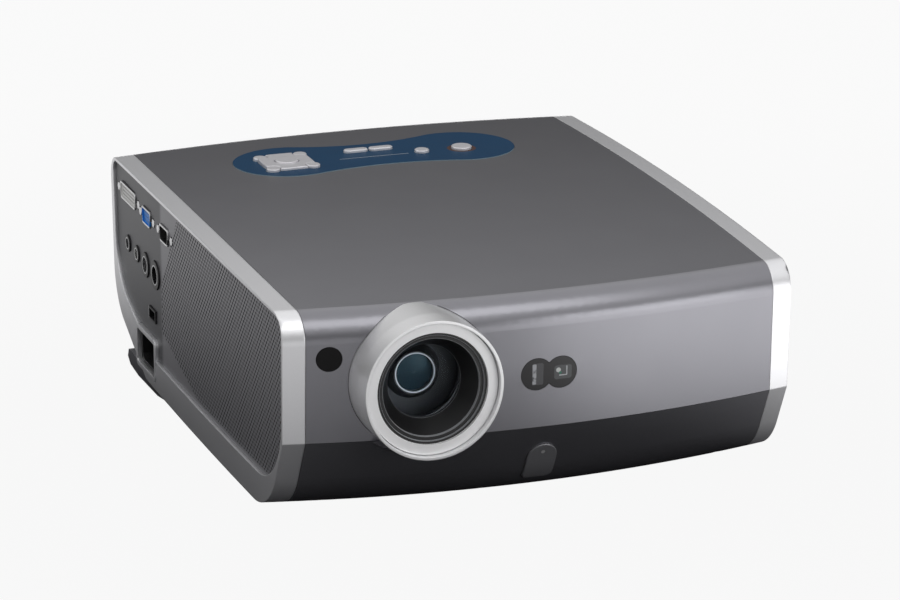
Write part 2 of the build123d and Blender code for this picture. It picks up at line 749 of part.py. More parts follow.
# Keys: cap through the cover, a retaining flange where there is room, and a stem to its switch
STEM_R = 1.6
SWITCH_W = 6.0
SWITCH_H = 3.5
KEY_EDGE = 0.4          # bevel round the top of a key
flanged = ("power_button", "standby_key")
for name, (x, y), cap, hole, proud in keys:
    surface = top_z(x, y)
    body_low = surface - WALL - 2 * KEY_FLANGE
    with BuildPart() as key:
        with BuildSketch(Plane.XY.offset(body_low)):
            with Locations((x, y)):
                add(cap)
                if name == "nav_pad":
                    Circle(OK_R + SKIN, mode=Mode.SUBTRACT)
        extrude(amount=surface + PLATE_PROUD + proud - body_low)
        chamfer(key.faces().sort_by(Axis.Z)[-1].edges(), length=KEY_EDGE)
        if name in flanged:
            with BuildSketch(Plane.XY.offset(body_low - KEY_FLANGE / 2)):
                with Locations((x, y)):
                    add(cap)
                offset(amount=KEY_FLANGE)
            extrude(amount=KEY_FLANGE)
        stem_low = KEY_BOARD_Z + SWITCH_H + KEY_TRAVEL + SKIN / 2
        stem_y = y + (NAV_D / 2 - 3 * STEM_R if name == "nav_pad" else 0)
        with BuildSketch(Plane.XY.offset(stem_low)):
            with Locations((x, stem_y)):
                Circle(STEM_R)
        extrude(amount=body_low + KEY_FLANGE - stem_low)
    piece(key.part, name)

# Key board under the cover, one switch under each key
with BuildPart() as key_board:
    with BuildSketch(Plane.XY.offset(KEY_BOARD_Z - BOARD_T)):
        with Locations(((KEY_BOARD[0] + KEY_BOARD[1]) / 2, (KEY_BOARD[2] + KEY_BOARD[3]) / 2)):
            Rectangle(KEY_BOARD[1] - KEY_BOARD[0], KEY_BOARD[3] - KEY_BOARD[2])
    extrude(amount=BOARD_T)
    for name, (x, y), cap, hole, proud in keys:
        stem_y = y + (NAV_D / 2 - 3 * STEM_R if name == "nav_pad" else 0)
        with BuildSketch(Plane.XY.offset(KEY_BOARD_Z)):
            with Locations((x, stem_y)):
                Rectangle(SWITCH_W, SWITCH_W)
        extrude(amount=SWITCH_H)
piece(key_board.part, "key_board")

# Lens: turned pieces about one axis, written as radius and Y
RIM_Y = -175.0          # front edge of the silver collar
COLLAR_LIP_R = 35.3
COLLAR_IN_R = 33.7
COLLAR_BACK_Y = -144.0
NAME_RING_Y = RIM_Y + 3.0
NAME_RING_IN_R = 28.4
STEP_R = (26.9, 24.9)
STEP_DEPTH = 1.2
THROAT_R = 18.8
GLASS_R = 20.3
GLASS_Y = RIM_Y + 18.9
GLASS_T = 5.0
GLASS_SAG = 4.2
REAR_SAG = 1.5
ZOOM_SAG = 1.6
SLEEVE_R = 27.2
SLEEVE_END_Y = -147.0
BARREL_WALL = 2.5
BARREL_FRONT_Y = -153.0
BARREL_BACK_Y = -62.0
BARREL_FLANGE_R = 34.0
FLANGE_T = 3.0
ZOOM_NOSE_Y = RIM_Y + 30.0
ZOOM_NOSE_R = 9.3
ZOOM_NOSE_L = 4.0
ZOOM_LENS_R = 10.9
MODULE = 0.6
RING_TEETH = 107
PINION_TEETH = 14
GEAR_W = 7.0
FOCUS_RING_Y = -141.0
ZOOM_RING_Y = -112.0
BRACKET_T = 2.0
MOTOR_R = 6.0
MOTOR_L = 16.0
SHAFT_R = 1.0
ROOT_DEPTH = 1.25       # tooth depth, height and half widths in modules and shares of the pitch
TIP_HEIGHT = 0.8
ROOT_SHARE = 0.33
TIP_SHARE = 0.13

barrel_in_r = SLEEVE_R + SKIN
barrel_out_r = barrel_in_r + BARREL_WALL
ring_pitch_r = MODULE * RING_TEETH / 2
pinion_pitch_r = MODULE * PINION_TEETH / 2
motor_x = LENS_X + ring_pitch_r + pinion_pitch_r
motor_places = (FOCUS_RING_Y + GEAR_W + SKIN, ZOOM_RING_Y + GEAR_W + SKIN)


def dome(radius, y_edge, sag):
    """Half profile of a lens surface, from the axis to its edge; sag is how far its middle stands out."""
    ball_r = (radius ** 2 + sag ** 2) / (2 * abs(sag))
    mid_r = radius / 2
    mid_drop = ball_r - math.sqrt(ball_r ** 2 - mid_r ** 2)
    mid_y = y_edge + sag - math.copysign(mid_drop, sag)
    return ThreePointArc((0, y_edge + sag), (mid_r, mid_y), (radius, y_edge))


def lens_glass(radius, y_front, thickness, sag_front, sag_rear):
    """Glass element with a domed front and rear and a straight edge."""
    with BuildPart() as glass:
        with BuildSketch(LENS_PLANE):
            with BuildLine():
                near = dome(radius, y_front, -sag_front)
                far = dome(radius, y_front + thickness, sag_rear)
                Line(near @ 1, far @ 1)
                Line(near @ 0, far @ 0)
            make_face()
        revolve(axis=LENS_AXIS)
    return glass.part


piece(turned([
    (COLLAR_LIP_R, RIM_Y), (COLLAR_R, FLARE_Y), (COLLAR_R, COLLAR_BACK_Y),
    (barrel_out_r + SKIN, COLLAR_BACK_Y), (barrel_out_r + SKIN, COLLAR_BACK_Y - BARREL_WALL),
    (COLLAR_IN_R, COLLAR_BACK_Y - BARREL_WALL), (COLLAR_IN_R, RIM_Y),
]), "lens_collar")

shoulder_y = RIM_Y + 15.0
seat_y = GLASS_Y - STEP_DEPTH
piece(turned([
    (NAME_RING_IN_R, NAME_RING_Y), (COLLAR_IN_R - SKIN, NAME_RING_Y), (COLLAR_IN_R - SKIN, shoulder_y),
    (SLEEVE_R, shoulder_y), (SLEEVE_R, SLEEVE_END_Y), (GLASS_R + SKIN, SLEEVE_END_Y),
    (GLASS_R + SKIN, seat_y), (THROAT_R, seat_y), (THROAT_R, seat_y - STEP_DEPTH),
    (STEP_R[1], NAME_RING_Y + 3 * STEP_DEPTH), (STEP_R[1], NAME_RING_Y + 2 * STEP_DEPTH),
    (STEP_R[0], NAME_RING_Y + 2 * STEP_DEPTH), (STEP_R[0], NAME_RING_Y + STEP_DEPTH),
    (NAME_RING_IN_R, NAME_RING_Y + STEP_DEPTH),
]), "focus_barrel")
piece(lens_glass(GLASS_R, GLASS_Y, GLASS_T, GLASS_SAG, REAR_SAG), "front_lens")

zoom_y = ZOOM_NOSE_Y + ZOOM_NOSE_L
piece(turned([
    (ZOOM_NOSE_R, ZOOM_NOSE_Y), (ZOOM_NOSE_R + STEP_DEPTH, ZOOM_NOSE_Y), (ZOOM_LENS_R + BARREL_WALL, zoom_y),
    (SLEEVE_R, zoom_y), (SLEEVE_R, zoom_y + GEAR_W), (ZOOM_LENS_R + SKIN, zoom_y + GEAR_W),
    (ZOOM_LENS_R + SKIN, zoom_y - STEP_DEPTH), (ZOOM_NOSE_R, zoom_y - STEP_DEPTH),
]), "zoom_group")
piece(lens_glass(ZOOM_LENS_R, zoom_y - STEP_DEPTH + 2 * SKIN, GLASS_T, ZOOM_SAG, ZOOM_SAG), "zoom_lens")

# Fixed barrel: tube, rear flange, and a bracket with the shaft hole for each motor
bracket_in_x = LENS_X + barrel_in_r + BARREL_WALL / 2
with BuildPart() as lens_barrel:
    add(turned([
        (barrel_in_r, BARREL_FRONT_Y), (barrel_out_r, BARREL_FRONT_Y),
        (barrel_out_r, BARREL_BACK_Y - FLANGE_T), (BARREL_FLANGE_R, BARREL_BACK_Y - FLANGE_T),
        (BARREL_FLANGE_R, BARREL_BACK_Y), (barrel_in_r, BARREL_BACK_Y),
    ]))
    for y in motor_places:
        block((bracket_in_x, motor_x + MOTOR_R), (y, y + BRACKET_T),
              (LENS_Z - MOTOR_R, LENS_Z + MOTOR_R))
        with BuildSketch(Plane.XZ.offset(-y)):
            with Locations((motor_x, LENS_Z)):
                Circle(SHAFT_R + SKIN)
        extrude(amount=-BRACKET_T, mode=Mode.SUBTRACT)
piece(lens_barrel.part, "lens_barrel")


def gear_outline(teeth, turn):
    """Points round a spur gear; turn is the direction of its first tooth in degrees."""
    root_r = MODULE * (teeth / 2 - ROOT_DEPTH)
    tip_r = MODULE * (teeth / 2 + TIP_HEIGHT)
    half_root = math.pi * MODULE * ROOT_SHARE / root_r
    half_tip = math.pi * MODULE * TIP_SHARE / tip_r
    points = []
    for tooth in range(teeth):
        middle = math.radians(turn) + 2 * math.pi * tooth / teeth
        for r, a in ((root_r, -half_root), (tip_r, -half_tip), (tip_r, half_tip), (root_r, half_root)):
            points.append((r * math.cos(middle + a), r * math.sin(middle + a)))
    return points


def gear(centre_x, y, teeth, turn, bore_r, shaft_l):
    """Spur gear across the lens axis with a bore or a shaft."""
    with BuildPart() as wheel:
        with BuildSketch(Plane(origin=(centre_x, y, LENS_Z), x_dir=(1, 0, 0), z_dir=(0, -1, 0))):
            with BuildLine():
                Polyline(*gear_outline(teeth, turn), close=True)
            make_face()
            if bore_r:
                Circle(bore_r, mode=Mode.SUBTRACT)
        extrude(amount=-GEAR_W)
        if shaft_l:
            shaft_plane = Plane(origin=(centre_x, y + GEAR_W, LENS_Z), x_dir=(1, 0, 0), z_dir=(0, -1, 0))
            with BuildSketch(shaft_plane):
                Circle(SHAFT_R)
            extrude(amount=-shaft_l)
    return wheel.part


for kind, gear_y in (("focus", FOCUS_RING_Y), ("zoom", ZOOM_RING_Y)):
    piece(gear(LENS_X, gear_y, RING_TEETH, 0, barrel_out_r + SKIN, 0), f"{kind}_ring")
    piece(gear(motor_x, gear_y, PINION_TEETH, 180 + 180 / PINION_TEETH, 0, BRACKET_T), f"{kind}_pinion")

with BuildPart() as lens_motors:
    for y in motor_places:
        with BuildSketch(Plane.XZ.offset(-y - BRACKET_T)):
            with Locations((motor_x, LENS_Z)):
                Circle(MOTOR_R)
        extrude(amount=-MOTOR_L)
piece(lens_motors.part, "lens_motors")

# Feet: drop-down front leg with its pad, fixed rear foot, and levelling foot with its wheel
PAD_W = 22.0
PAD_D = 14.0
FOOT_R = 8.0
WHEEL_R = 11.0
FOOT_EDGE = 0.8         # bevel round the lower edge of a foot
PAD_CORNER_R = 5.0
NOTCHES = 9             # notches of the front leg for the release catch
NOTCH_LOW = 8.0
NOTCH_PITCH = 4.0
NOTCH_W = 6.0
NOTCH_H = 2.0
NOTCH_DEPTH = 1.2
WHEEL_GRIPS = 24
GRIP_R = 0.7
WHEEL_EDGE = 0.3
STUD_ROOM = 2.0         # free space over the levelling stud
pad_top_z = FOOT_H - SKIN
with BuildPart() as front_leg:
    with BuildSketch(Plane.XY.offset(pad_top_z)):
        with Locations((RELEASE_X, LEG_Y)):
            Rectangle(LEG_W, LEG_D)
    extrude(amount=LEG_TOP_Z - pad_top_z)
    for number in range(NOTCHES):
        notch_z = FOOT_H + NOTCH_LOW + NOTCH_PITCH * number
        block((RELEASE_X - NOTCH_W / 2, RELEASE_X + NOTCH_W / 2),
              (LEG_Y - LEG_D / 2, LEG_Y - LEG_D / 2 + NOTCH_DEPTH), (notch_z, notch_z + NOTCH_H),
              mode=Mode.SUBTRACT)
piece(front_leg.part, "front_leg")
with BuildPart() as front_leg_pad:
    with BuildSketch():
        with Locations((RELEASE_X, LEG_Y)):
            RectangleRounded(PAD_W, PAD_D, PAD_CORNER_R)
    extrude(amount=pad_top_z)
    chamfer(front_leg_pad.faces().sort_by(Axis.Z)[0].edges(), length=FOOT_EDGE)
piece(front_leg_pad.part, "front_leg_pad")
with BuildPart() as rear_foot:
    with BuildSketch():
        with Locations((-REAR_FOOT_X, REAR_FOOT_Y)):
            Circle(FOOT_R)
    extrude(amount=FOOT_H)
    chamfer(rear_foot.faces().sort_by(Axis.Z)[0].edges(), length=FOOT_EDGE)
piece(rear_foot.part, "rear_foot")
wheel_top_z = FOOT_H - 2 * SKIN
with BuildPart() as rear_screw_foot:
    with BuildSketch(Plane.XY.offset(wheel_top_z)):
        with Locations((REAR_FOOT_X, REAR_FOOT_Y)):
            Circle(STUD_R)
    extrude(amount=STUD_TOP_Z - STUD_ROOM - wheel_top_z)
piece(rear_screw_foot.part, "rear_screw_foot")
with BuildPart() as rear_foot_wheel:
    with BuildSketch():
        with Locations((REAR_FOOT_X, REAR_FOOT_Y)):
            Circle(WHEEL_R)
            with PolarLocations(WHEEL_R, WHEEL_GRIPS):
                Circle(GRIP_R, mode=Mode.SUBTRACT)
    extrude(amount=wheel_top_z)
    chamfer(rear_foot_wheel.faces().sort_by(Axis.Z)[0].edges(), length=WHEEL_EDGE)
piece(rear_foot_wheel.part, "rear_foot_wheel")

# Hatches in the floor and the filter behind its cover
DOOR_GRIPS_Y = (-26.0, -22.0, -18.0)
DOOR_GRIP = (24.0, 2.0, 0.6)
VENTS = 10
VENT_PITCH = 4.0
VENT_L = 40.0
VENT_W = 2.2
PLEATS = 10
PLEAT_PITCH = 4.0
PLEAT_W = 1.6
PLEAT_MARGIN = 2.0
PLEAT_FLOOR = 1.5
with BuildPart() as lamp_door:
    with BuildSketch(Plane.XY.offset(FOOT_H)):
        with Locations((LAMP_X, LAMP_Y)):
            Rectangle(*LAMP_DOOR)
    extrude(amount=DOOR_T)
    grip_l, grip_w, grip_t = DOOR_GRIP
    for offset_y in DOOR_GRIPS_Y:
        grip_y = LAMP_Y + offset_y
        block((LAMP_X - grip_l / 2, LAMP_X + grip_l / 2), (grip_y, grip_y + grip_w), (FOOT_H, FOOT_H + grip_t),
              mode=Mode.SUBTRACT)
piece(lamp_door.part, "lamp_door")
with BuildPart() as filter_cover:
    with BuildSketch(Plane.XY.offset(FOOT_H)):
        with Locations((FILTER_X, FILTER_Y)):
            Rectangle(*FILTER_DOOR)
            with GridLocations(0, VENT_PITCH, 1, VENTS):
                SlotOverall(VENT_L, VENT_W, mode=Mode.SUBTRACT)
    extrude(amount=DOOR_T)
piece(filter_cover.part, "filter_cover")
with BuildPart() as air_filter:
    filter_half = FILTER_DOOR[0] / 2 - LEDGE_W - 1
    with BuildSketch(Plane.XY.offset(FOOT_H + DOOR_T)):
        with Locations((FILTER_X, FILTER_Y)):
            Rectangle(2 * filter_half, 2 * filter_half)
    extrude(amount=FILTER_T)
    pleat_reach = filter_half - PLEAT_MARGIN
    for number in range(PLEATS):
        x = FILTER_X + PLEAT_PITCH * (number - (PLEATS - 1) / 2)
        block((x - PLEAT_W / 2, x + PLEAT_W / 2), (FILTER_Y - pleat_reach, FILTER_Y + pleat_reach),
              (FOOT_H + DOOR_T + PLEAT_FLOOR, FOOT_H + DOOR_T + FILTER_T), mode=Mode.SUBTRACT)
piece(air_filter.part, "air_filter")

# Case screws in the four bosses
HEAD_T = 1.8
SCREW_FIT = 0.05
with BuildPart() as case_screws:
    for x, y in boss_places:
        head_z = boss_low_z(x, y) + WALL
        with BuildSketch(Plane.XY.offset(head_z - HEAD_T)):
            with Locations((x, y)):
                Circle(SCREW_HEAD_R)
        extrude(amount=HEAD_T)
        with BuildSketch(Plane.XY.offset(head_z)):
            with Locations((x, y)):
                Circle(SCREW_R - SCREW_FIT)
        extrude(amount=SEAM_Z + SCREW_REACH - head_z)
piece(case_screws.part, "case_screws")

# Left side: power inlet in its silver frame, and the boards and sockets behind the panel
INLET_BACK_X = -108.0
INLET_FRONT_X = -134.0
INLET_FRAME_X = (-124.8, -136.0)
INLET_CAVITY = (24.8, 14.0, 18.0)
INLET_SHELL = (2.4, 1.0)  # wall of the socket at its sides and at its top and bottom
INLET_CORNER = 3.0
PIN_T = 2.0
PIN_L = 13.0
PIN_PLACES = ((-7.0, -1.0), (0.0, 3.0), (7.0, -1.0))
with BuildPart() as ac_inlet_frame:
    with BuildSketch(Plane.YZ.offset(INLET_FRAME_X[0])):
        add(inlet_outline(0))
        add(inlet_outline(-INLET_WALL), mode=Mode.SUBTRACT)
    extrude(amount=INLET_FRAME_X[1] - INLET_FRAME_X[0])
piece(ac_inlet_frame.part, "ac_inlet_frame")
with BuildPart() as ac_inlet:
    with BuildSketch(Plane.YZ.offset(INLET_BACK_X)):
        with Locations((INLET_Y, INLET_Z)):
            Rectangle(INLET_CAVITY[0] + 2 * INLET_SHELL[0], INLET_CAVITY[1] + 2 * INLET_SHELL[1])
    extrude(amount=INLET_FRONT_X - INLET_BACK_X)
    with BuildSketch(Plane.YZ.offset(INLET_FRONT_X)) as cavity:
        with Locations((INLET_Y, INLET_Z)):
            Rectangle(INLET_CAVITY[0], INLET_CAVITY[1])
        chamfer(cavity.vertices().sort_by(Axis.Y)[:2], length=INLET_CORNER)
    extrude(amount=INLET_CAVITY[2], mode=Mode.SUBTRACT)
    cavity_back_x = INLET_FRONT_X + INLET_CAVITY[2]
    for dy, dz in PIN_PLACES:
        block((cavity_back_x - PIN_L, cavity_back_x), (INLET_Y + dy - PIN_T / 2, INLET_Y + dy + PIN_T / 2),
              (INLET_Z + dz - PIN_T, INLET_Z + dz + PIN_T))
piece(ac_inlet.part, "ac_inlet")

TERMINAL_CHIPS = ((60.0, 60.0, 12.0), (60.0, 82.0, 8.0), (112.0, 52.0, 16.0), (140.0, 48.0, 10.0))
CHIP_T = 2.0
board_outer_x = TERMINAL_BOARD_X - BOARD_T / 2
chip_x = (board_outer_x + BOARD_T, board_outer_x + BOARD_T + CHIP_T)
with BuildPart() as terminal_board:
    block((board_outer_x, board_outer_x + BOARD_T), TERMINAL_BOARD_Y, TERMINAL_BOARD_Z)
    for y, z, size in TERMINAL_CHIPS:
        block(chip_x, (y - size / 2, y + size / 2), (z - size / 2, z + size / 2))
piece(terminal_board.part, "terminal_board")


def socket_face_x(y):
    """X of the sockets' front ends, a little proud of the bowed side panel."""
    half = (REAR_Y - FRONT_Y) / 2 + 20
    bow = SIDE_BOW * (1 - ((y - MID_Y) / half) ** 2)
    return -(panel_x_out + bow + SOCKET_FACE)


FLANGE_PLATE_T = 0.8
INSERT_DEPTH = 0.8
PIN_SIDE_DEPTH = 5.0
for name, (y, z), width, height in video_sockets:
    face_x = socket_face_x(y)
    plate_x = face_x + SOCKET_FACE + PANEL_T + 2 * SKIN
    depth = PIN_SIDE_DEPTH if name == "serial_socket" else INSERT_DEPTH
    with BuildPart() as socket:
        with BuildSketch(Plane.YZ.offset(face_x)):
            with Locations((y, z)):
                add(dsub_outline(width, height, 0))
        extrude(amount=board_outer_x - face_x)
        with BuildSketch(Plane.YZ.offset(face_x)):
            with Locations((y, z)):
                add(dsub_outline(width, height, -SOCKET_WALL))
        extrude(amount=depth, mode=Mode.SUBTRACT)
        reach = width / 2 + JACKSCREW_OFF + JACKSCREW_R
        half_h = height / 2 + SOCKET_WALL
        block((plate_x, plate_x + FLANGE_PLATE_T), (y - reach, y + reach), (z - half_h, z + half_h))
        with BuildSketch(Plane.YZ.offset(face_x + SOCKET_FACE / 2)):
            with Locations([(y + end * (width / 2 + JACKSCREW_OFF), z) for end in (-1, 1)]):
                RegularPolygon(JACKSCREW_R, 6)
        extrude(amount=plate_x - face_x)
    piece(socket.part, name)

jack_inner_x = -panel_x_in + SOCKET_WALL
with BuildPart() as jack_block:
    low_y = JACKS[-1][0] - JACKS[-1][2]
    high_y = JACKS[0][0] + JACKS[0][2]
    jack_z = (JACKS[-1][1] - JACKS[-1][2], JACKS[-1][1] + JACKS[-1][2])
    block((jack_inner_x, board_outer_x), (low_y, high_y), jack_z)
    block((jack_inner_x, board_outer_x), (SERVICE[0] - SERVICE_W / 2, SERVICE[0] + SERVICE_W / 2),
          (SERVICE[1] - SERVICE_H / 2, JACKS[-1][1]))
    for y, z, r in JACKS:
        face_x = socket_face_x(y)
        with BuildSketch(Plane.YZ.offset(face_x)):
            with Locations((y, z)):
                Circle(r)
        extrude(amount=jack_inner_x - face_x)
        with BuildSketch(Plane.YZ.offset(face_x)):
            with Locations((y, z)):
                Circle(r * JACK_BORE)
        extrude(amount=SOCKET_DEPTH, mode=Mode.SUBTRACT)
    face_x = socket_face_x(SERVICE[0])
    service_y = (SERVICE[0] - SERVICE_W / 2, SERVICE[0] + SERVICE_W / 2)
    service_z = (SERVICE[1] - SERVICE_H / 2, SERVICE[1] + SERVICE_H / 2)
    block((face_x, jack_inner_x), service_y, service_z)
    block((face_x, face_x + SOCKET_DEPTH), (service_y[0] + SOCKET_WALL, service_y[1] - SOCKET_WALL),
          (service_z[0] + SOCKET_WALL, service_z[1] - SOCKET_WALL), mode=Mode.SUBTRACT)
piece(jack_block.part, "jack_block")

# Electronics on the floor: X, Y, size and height of each block on the main board
MAIN_CHIPS = (
    (-74.0, 120.0, 22.0, 3.0), (-44.0, 118.0, 18.0, 2.0), (-22.0, 106.0, 12.0, 2.0), (-20.0, 128.0, 10.0, 2.0),
    (4.0, 112.0, 8.0, 6.0),
)
with BuildPart() as main_board:
    block(MAIN_BOARD[:2], MAIN_BOARD[2:], (MAIN_BOARD_Z, MAIN_BOARD_Z + BOARD_T))
    chip_z = MAIN_BOARD_Z + BOARD_T
    for x, y, size, height in MAIN_CHIPS:
        block((x - size / 2, x + size / 2), (y - size / 2, y + size / 2), (chip_z, chip_z + height))
piece(main_board.part, "main_board")

SUPPLY_X = (88.0, 114.0)
SUPPLY_Y = (-112.0, 26.0)
SUPPLY_Z = (CEILING_BOSS_Z, 78.0)
SUPPLY_TRAY = 1.5
SUPPLY_EDGE = 4.0       # from the tray's ends to its board
SUPPLY_POST = (6.0, 12.0)
CAPACITOR_R = 8.0
CAPACITORS = ((-94.0, 52.0), (-76.0, 52.0), (-58.0, 44.0))
SUPPLY_BLOCKS = (((92.0, 111.0), (-40.0, -12.0), 50.0), ((94.0, 107.0), (-6.0, 16.0), 40.0))
tray_x = (SUPPLY_X[0], SUPPLY_X[0] + SUPPLY_TRAY)
supply_board_x = (SUPPLY_X[0] + SUPPLY_TRAY, SUPPLY_X[1] - SUPPLY_TRAY)
supply_board_y = (SUPPLY_Y[0] + SUPPLY_EDGE, SUPPLY_Y[1] - SUPPLY_EDGE)
post_x = SUPPLY_X[0] + 2 * SUPPLY_EDGE
board_z = SUPPLY_Z[0] + SUPPLY_TRAY + SUPPLY_EDGE
part_z = board_z + BOARD_T
with BuildPart() as power_supply:
    block(SUPPLY_X, SUPPLY_Y, (SUPPLY_Z[0], SUPPLY_Z[0] + SUPPLY_TRAY))
    block(tray_x, SUPPLY_Y, SUPPLY_Z)
    block(supply_board_x, supply_board_y, (board_z, part_z))
    post_w, post_in = SUPPLY_POST
    for y in (SUPPLY_Y[0] + post_in, SUPPLY_Y[1] - post_in):
        block((post_x, post_x + post_w), (y - post_w / 2, y + post_w / 2), (SUPPLY_Z[0] + SUPPLY_TRAY, board_z))
    for y, top in CAPACITORS:
        with BuildSketch(Plane.XY.offset(part_z)):
            with Locations(((SUPPLY_X[0] + SUPPLY_X[1]) / 2, y)):
                Circle(CAPACITOR_R)
        extrude(amount=top - part_z)
    for block_x, block_y, top in SUPPLY_BLOCKS:
        block(block_x, block_y, (part_z, top))
piece(power_supply.part, "power_supply")

# Light engine: L-shaped frame, prism with its panels, lamp unit
FRAME_Z = 31.0
FRAME_T = 3.0
FRAME_LEG_X = (-108.0, -26.0)
FRAME_LEG_Y = (BARREL_BACK_Y + SKIN, 10.0)
FRAME_BAR_X = (-108.0, 20.0)
FRAME_BAR_Y = (10.0, 90.0)
FRAME_POSTS = ((-100.0, -34.0), (-100.0, 82.0), (-34.0, 2.0), (12.0, 82.0))
PRISM = 32.0
PRISM_Y = -30.0
PRISM_EDGE = 1.0
SEAT_IN = 2.0           # the prism stands over the edge of its seat by this much
POST_R = 5.0
PANEL_SIZE = (26.0, 20.0, 3.0)
prism_low_z = LENS_Z - PRISM / 2
seat_half = PRISM / 2 - SEAT_IN
with BuildPart() as optics_frame:
    block(FRAME_LEG_X, FRAME_LEG_Y, (FRAME_Z, FRAME_Z + FRAME_T))
    block(FRAME_BAR_X, FRAME_BAR_Y, (FRAME_Z, FRAME_Z + FRAME_T))
    block(FRAME_LEG_X, (FRAME_LEG_Y[0], FRAME_LEG_Y[0] + FRAME_T), (FRAME_Z, LENS_Z + BARREL_FLANGE_R - WALL))
    with BuildSketch(Plane.XZ.offset(-FRAME_LEG_Y[0])):
        with Locations((LENS_X, LENS_Z)):
            Circle(barrel_in_r)
    extrude(amount=-FRAME_T, mode=Mode.SUBTRACT)
    block((LENS_X - seat_half, LENS_X + seat_half), (PRISM_Y - seat_half, PRISM_Y + seat_half),
          (FRAME_Z, prism_low_z))
    for place in FRAME_POSTS:
        post_low = FOOT_H + WALL
        with BuildSketch(Plane.XY.offset(post_low)):
            with Locations(place):
                Circle(POST_R)
        extrude(amount=FRAME_Z + FRAME_T / 2 - post_low)
piece(optics_frame.part, "optics_frame")
with BuildPart() as prism_block:
    block((LENS_X - PRISM / 2, LENS_X + PRISM / 2), (PRISM_Y - PRISM / 2, PRISM_Y + PRISM / 2),
          (prism_low_z, prism_low_z + PRISM))
    chamfer(prism_block.edges().filter_by(Axis.Z), length=PRISM_EDGE)
piece(prism_block.part, "prism_block")
panel_w, panel_h, panel_t = PANEL_SIZE
near = PRISM / 2 + GAP
with BuildPart() as display_panels:
    for side in (-1, 1):
        x_near, x_far = sorted((LENS_X + side * near, LENS_X + side * (near + panel_t)))
        block((x_near, x_far), (PRISM_Y - panel_w / 2, PRISM_Y + panel_w / 2),
              (LENS_Z - panel_h / 2, LENS_Z + panel_h / 2))
    block((LENS_X - panel_w / 2, LENS_X + panel_w / 2), (PRISM_Y + near, PRISM_Y + near + panel_t),
          (LENS_Z - panel_h / 2, LENS_Z + panel_h / 2))
piece(display_panels.part, "display_panels")

HOUSING_X = (LAMP_X - 23.0, LAMP_X + 23.0)
HOUSING_Y = (LAMP_Y - 28.0, LAMP_Y + 28.0)
HOUSING_TOP_Z = 107.0
HOUSING_T = 2.0
HOUSING_WINDOW = 46.0
REFLECTOR_Z = 80.0
REFLECTOR_R = 24.0
REFLECTOR_NECK_R = 7.0
REFLECTOR_T = 2.0
NECK_L = 10.0
BOWL_TURN = (20.0, 5.0)  # how far behind the mouth, and inside its radius, the bowl's curve passes
BURNER_R = 2.2
BULB_R = 5.0
BULB_HALF = 4.0
BULB_BACK = 14.0        # from the bowl's neck to the middle of the bulb
BURNER_TIP = 16.0
FLANGE_FIT = 0.5
housing_z = FOOT_H + DOOR_T + SKIN
flange_half_x = LAMP_DOOR[0] / 2 - FLANGE_FIT
flange_half_y = LAMP_DOOR[1] / 2 - FLANGE_FIT
window_half = HOUSING_WINDOW / 2
with BuildPart() as lamp_housing:
    block((LAMP_X - flange_half_x, LAMP_X + flange_half_x), (LAMP_Y - flange_half_y, LAMP_Y + flange_half_y),
          (housing_z, housing_z + LAMP_FLANGE_T))
    block(HOUSING_X, HOUSING_Y, (housing_z, HOUSING_TOP_Z))
    block((HOUSING_X[0] + HOUSING_T, HOUSING_X[1] - HOUSING_T),
          (HOUSING_Y[0] + HOUSING_T, HOUSING_Y[1] - HOUSING_T),
          (housing_z + LAMP_FLANGE_T, HOUSING_TOP_Z - HOUSING_T), mode=Mode.SUBTRACT)
    block((HOUSING_X[0] - HOUSING_T, HOUSING_X[0] + HOUSING_T), (LAMP_Y - window_half, LAMP_Y + window_half),
          (REFLECTOR_Z - window_half, REFLECTOR_Z + window_half), mode=Mode.SUBTRACT)
piece(lamp_housing.part, "lamp_housing")

mouth_x = HOUSING_X[0] + HOUSING_T + GAP
neck_x = HOUSING_X[1] - HOUSING_T - GAP
LAMP_PLANE = Plane(origin=(0, LAMP_Y, REFLECTOR_Z), x_dir=(1, 0, 0), z_dir=(0, -1, 0))
LAMP_AXIS = Axis((0, LAMP_Y, REFLECTOR_Z), (1, 0, 0))
bowl_x = neck_x - NECK_L
turn_x, turn_drop = BOWL_TURN
bore_r = REFLECTOR_NECK_R - REFLECTOR_T
with BuildPart() as lamp_reflector:
    with BuildSketch(LAMP_PLANE):
        with BuildLine():
            outer_turn = (mouth_x + turn_x, REFLECTOR_R - turn_drop)
            inner_turn = (outer_turn[0] - REFLECTOR_T, outer_turn[1] - REFLECTOR_T)
            ThreePointArc((mouth_x, REFLECTOR_R), outer_turn, (bowl_x, REFLECTOR_NECK_R))
            Polyline((bowl_x, REFLECTOR_NECK_R), (neck_x, REFLECTOR_NECK_R), (neck_x, bore_r),
                     (bowl_x - REFLECTOR_T, bore_r))
            ThreePointArc((bowl_x - REFLECTOR_T, bore_r), inner_turn, (mouth_x, REFLECTOR_R - REFLECTOR_T))
            Line((mouth_x, REFLECTOR_R - REFLECTOR_T), (mouth_x, REFLECTOR_R))
        make_face()
    revolve(axis=LAMP_AXIS)
piece(lamp_reflector.part, "lamp_reflector")
with BuildPart() as lamp_burner:
    with BuildSketch(LAMP_PLANE):
        with BuildLine():
            bulb_x = bowl_x - BULB_BACK
            tip_x = bulb_x - BURNER_TIP
            Polyline((tip_x, 0), (tip_x, BURNER_R), (bulb_x - BULB_HALF, BURNER_R))
            ThreePointArc((bulb_x - BULB_HALF, BURNER_R), (bulb_x, BULB_R), (bulb_x + BULB_HALF, BURNER_R))
            Polyline((bulb_x + BULB_HALF, BURNER_R), (bowl_x, BURNER_R), (bowl_x, bore_r - GAP / 2),
                     (neck_x, bore_r - GAP / 2), (neck_x, 0), (tip_x, 0))
        make_face()
    revolve(axis=LAMP_AXIS)
piece(lamp_burner.part, "lamp_burner")

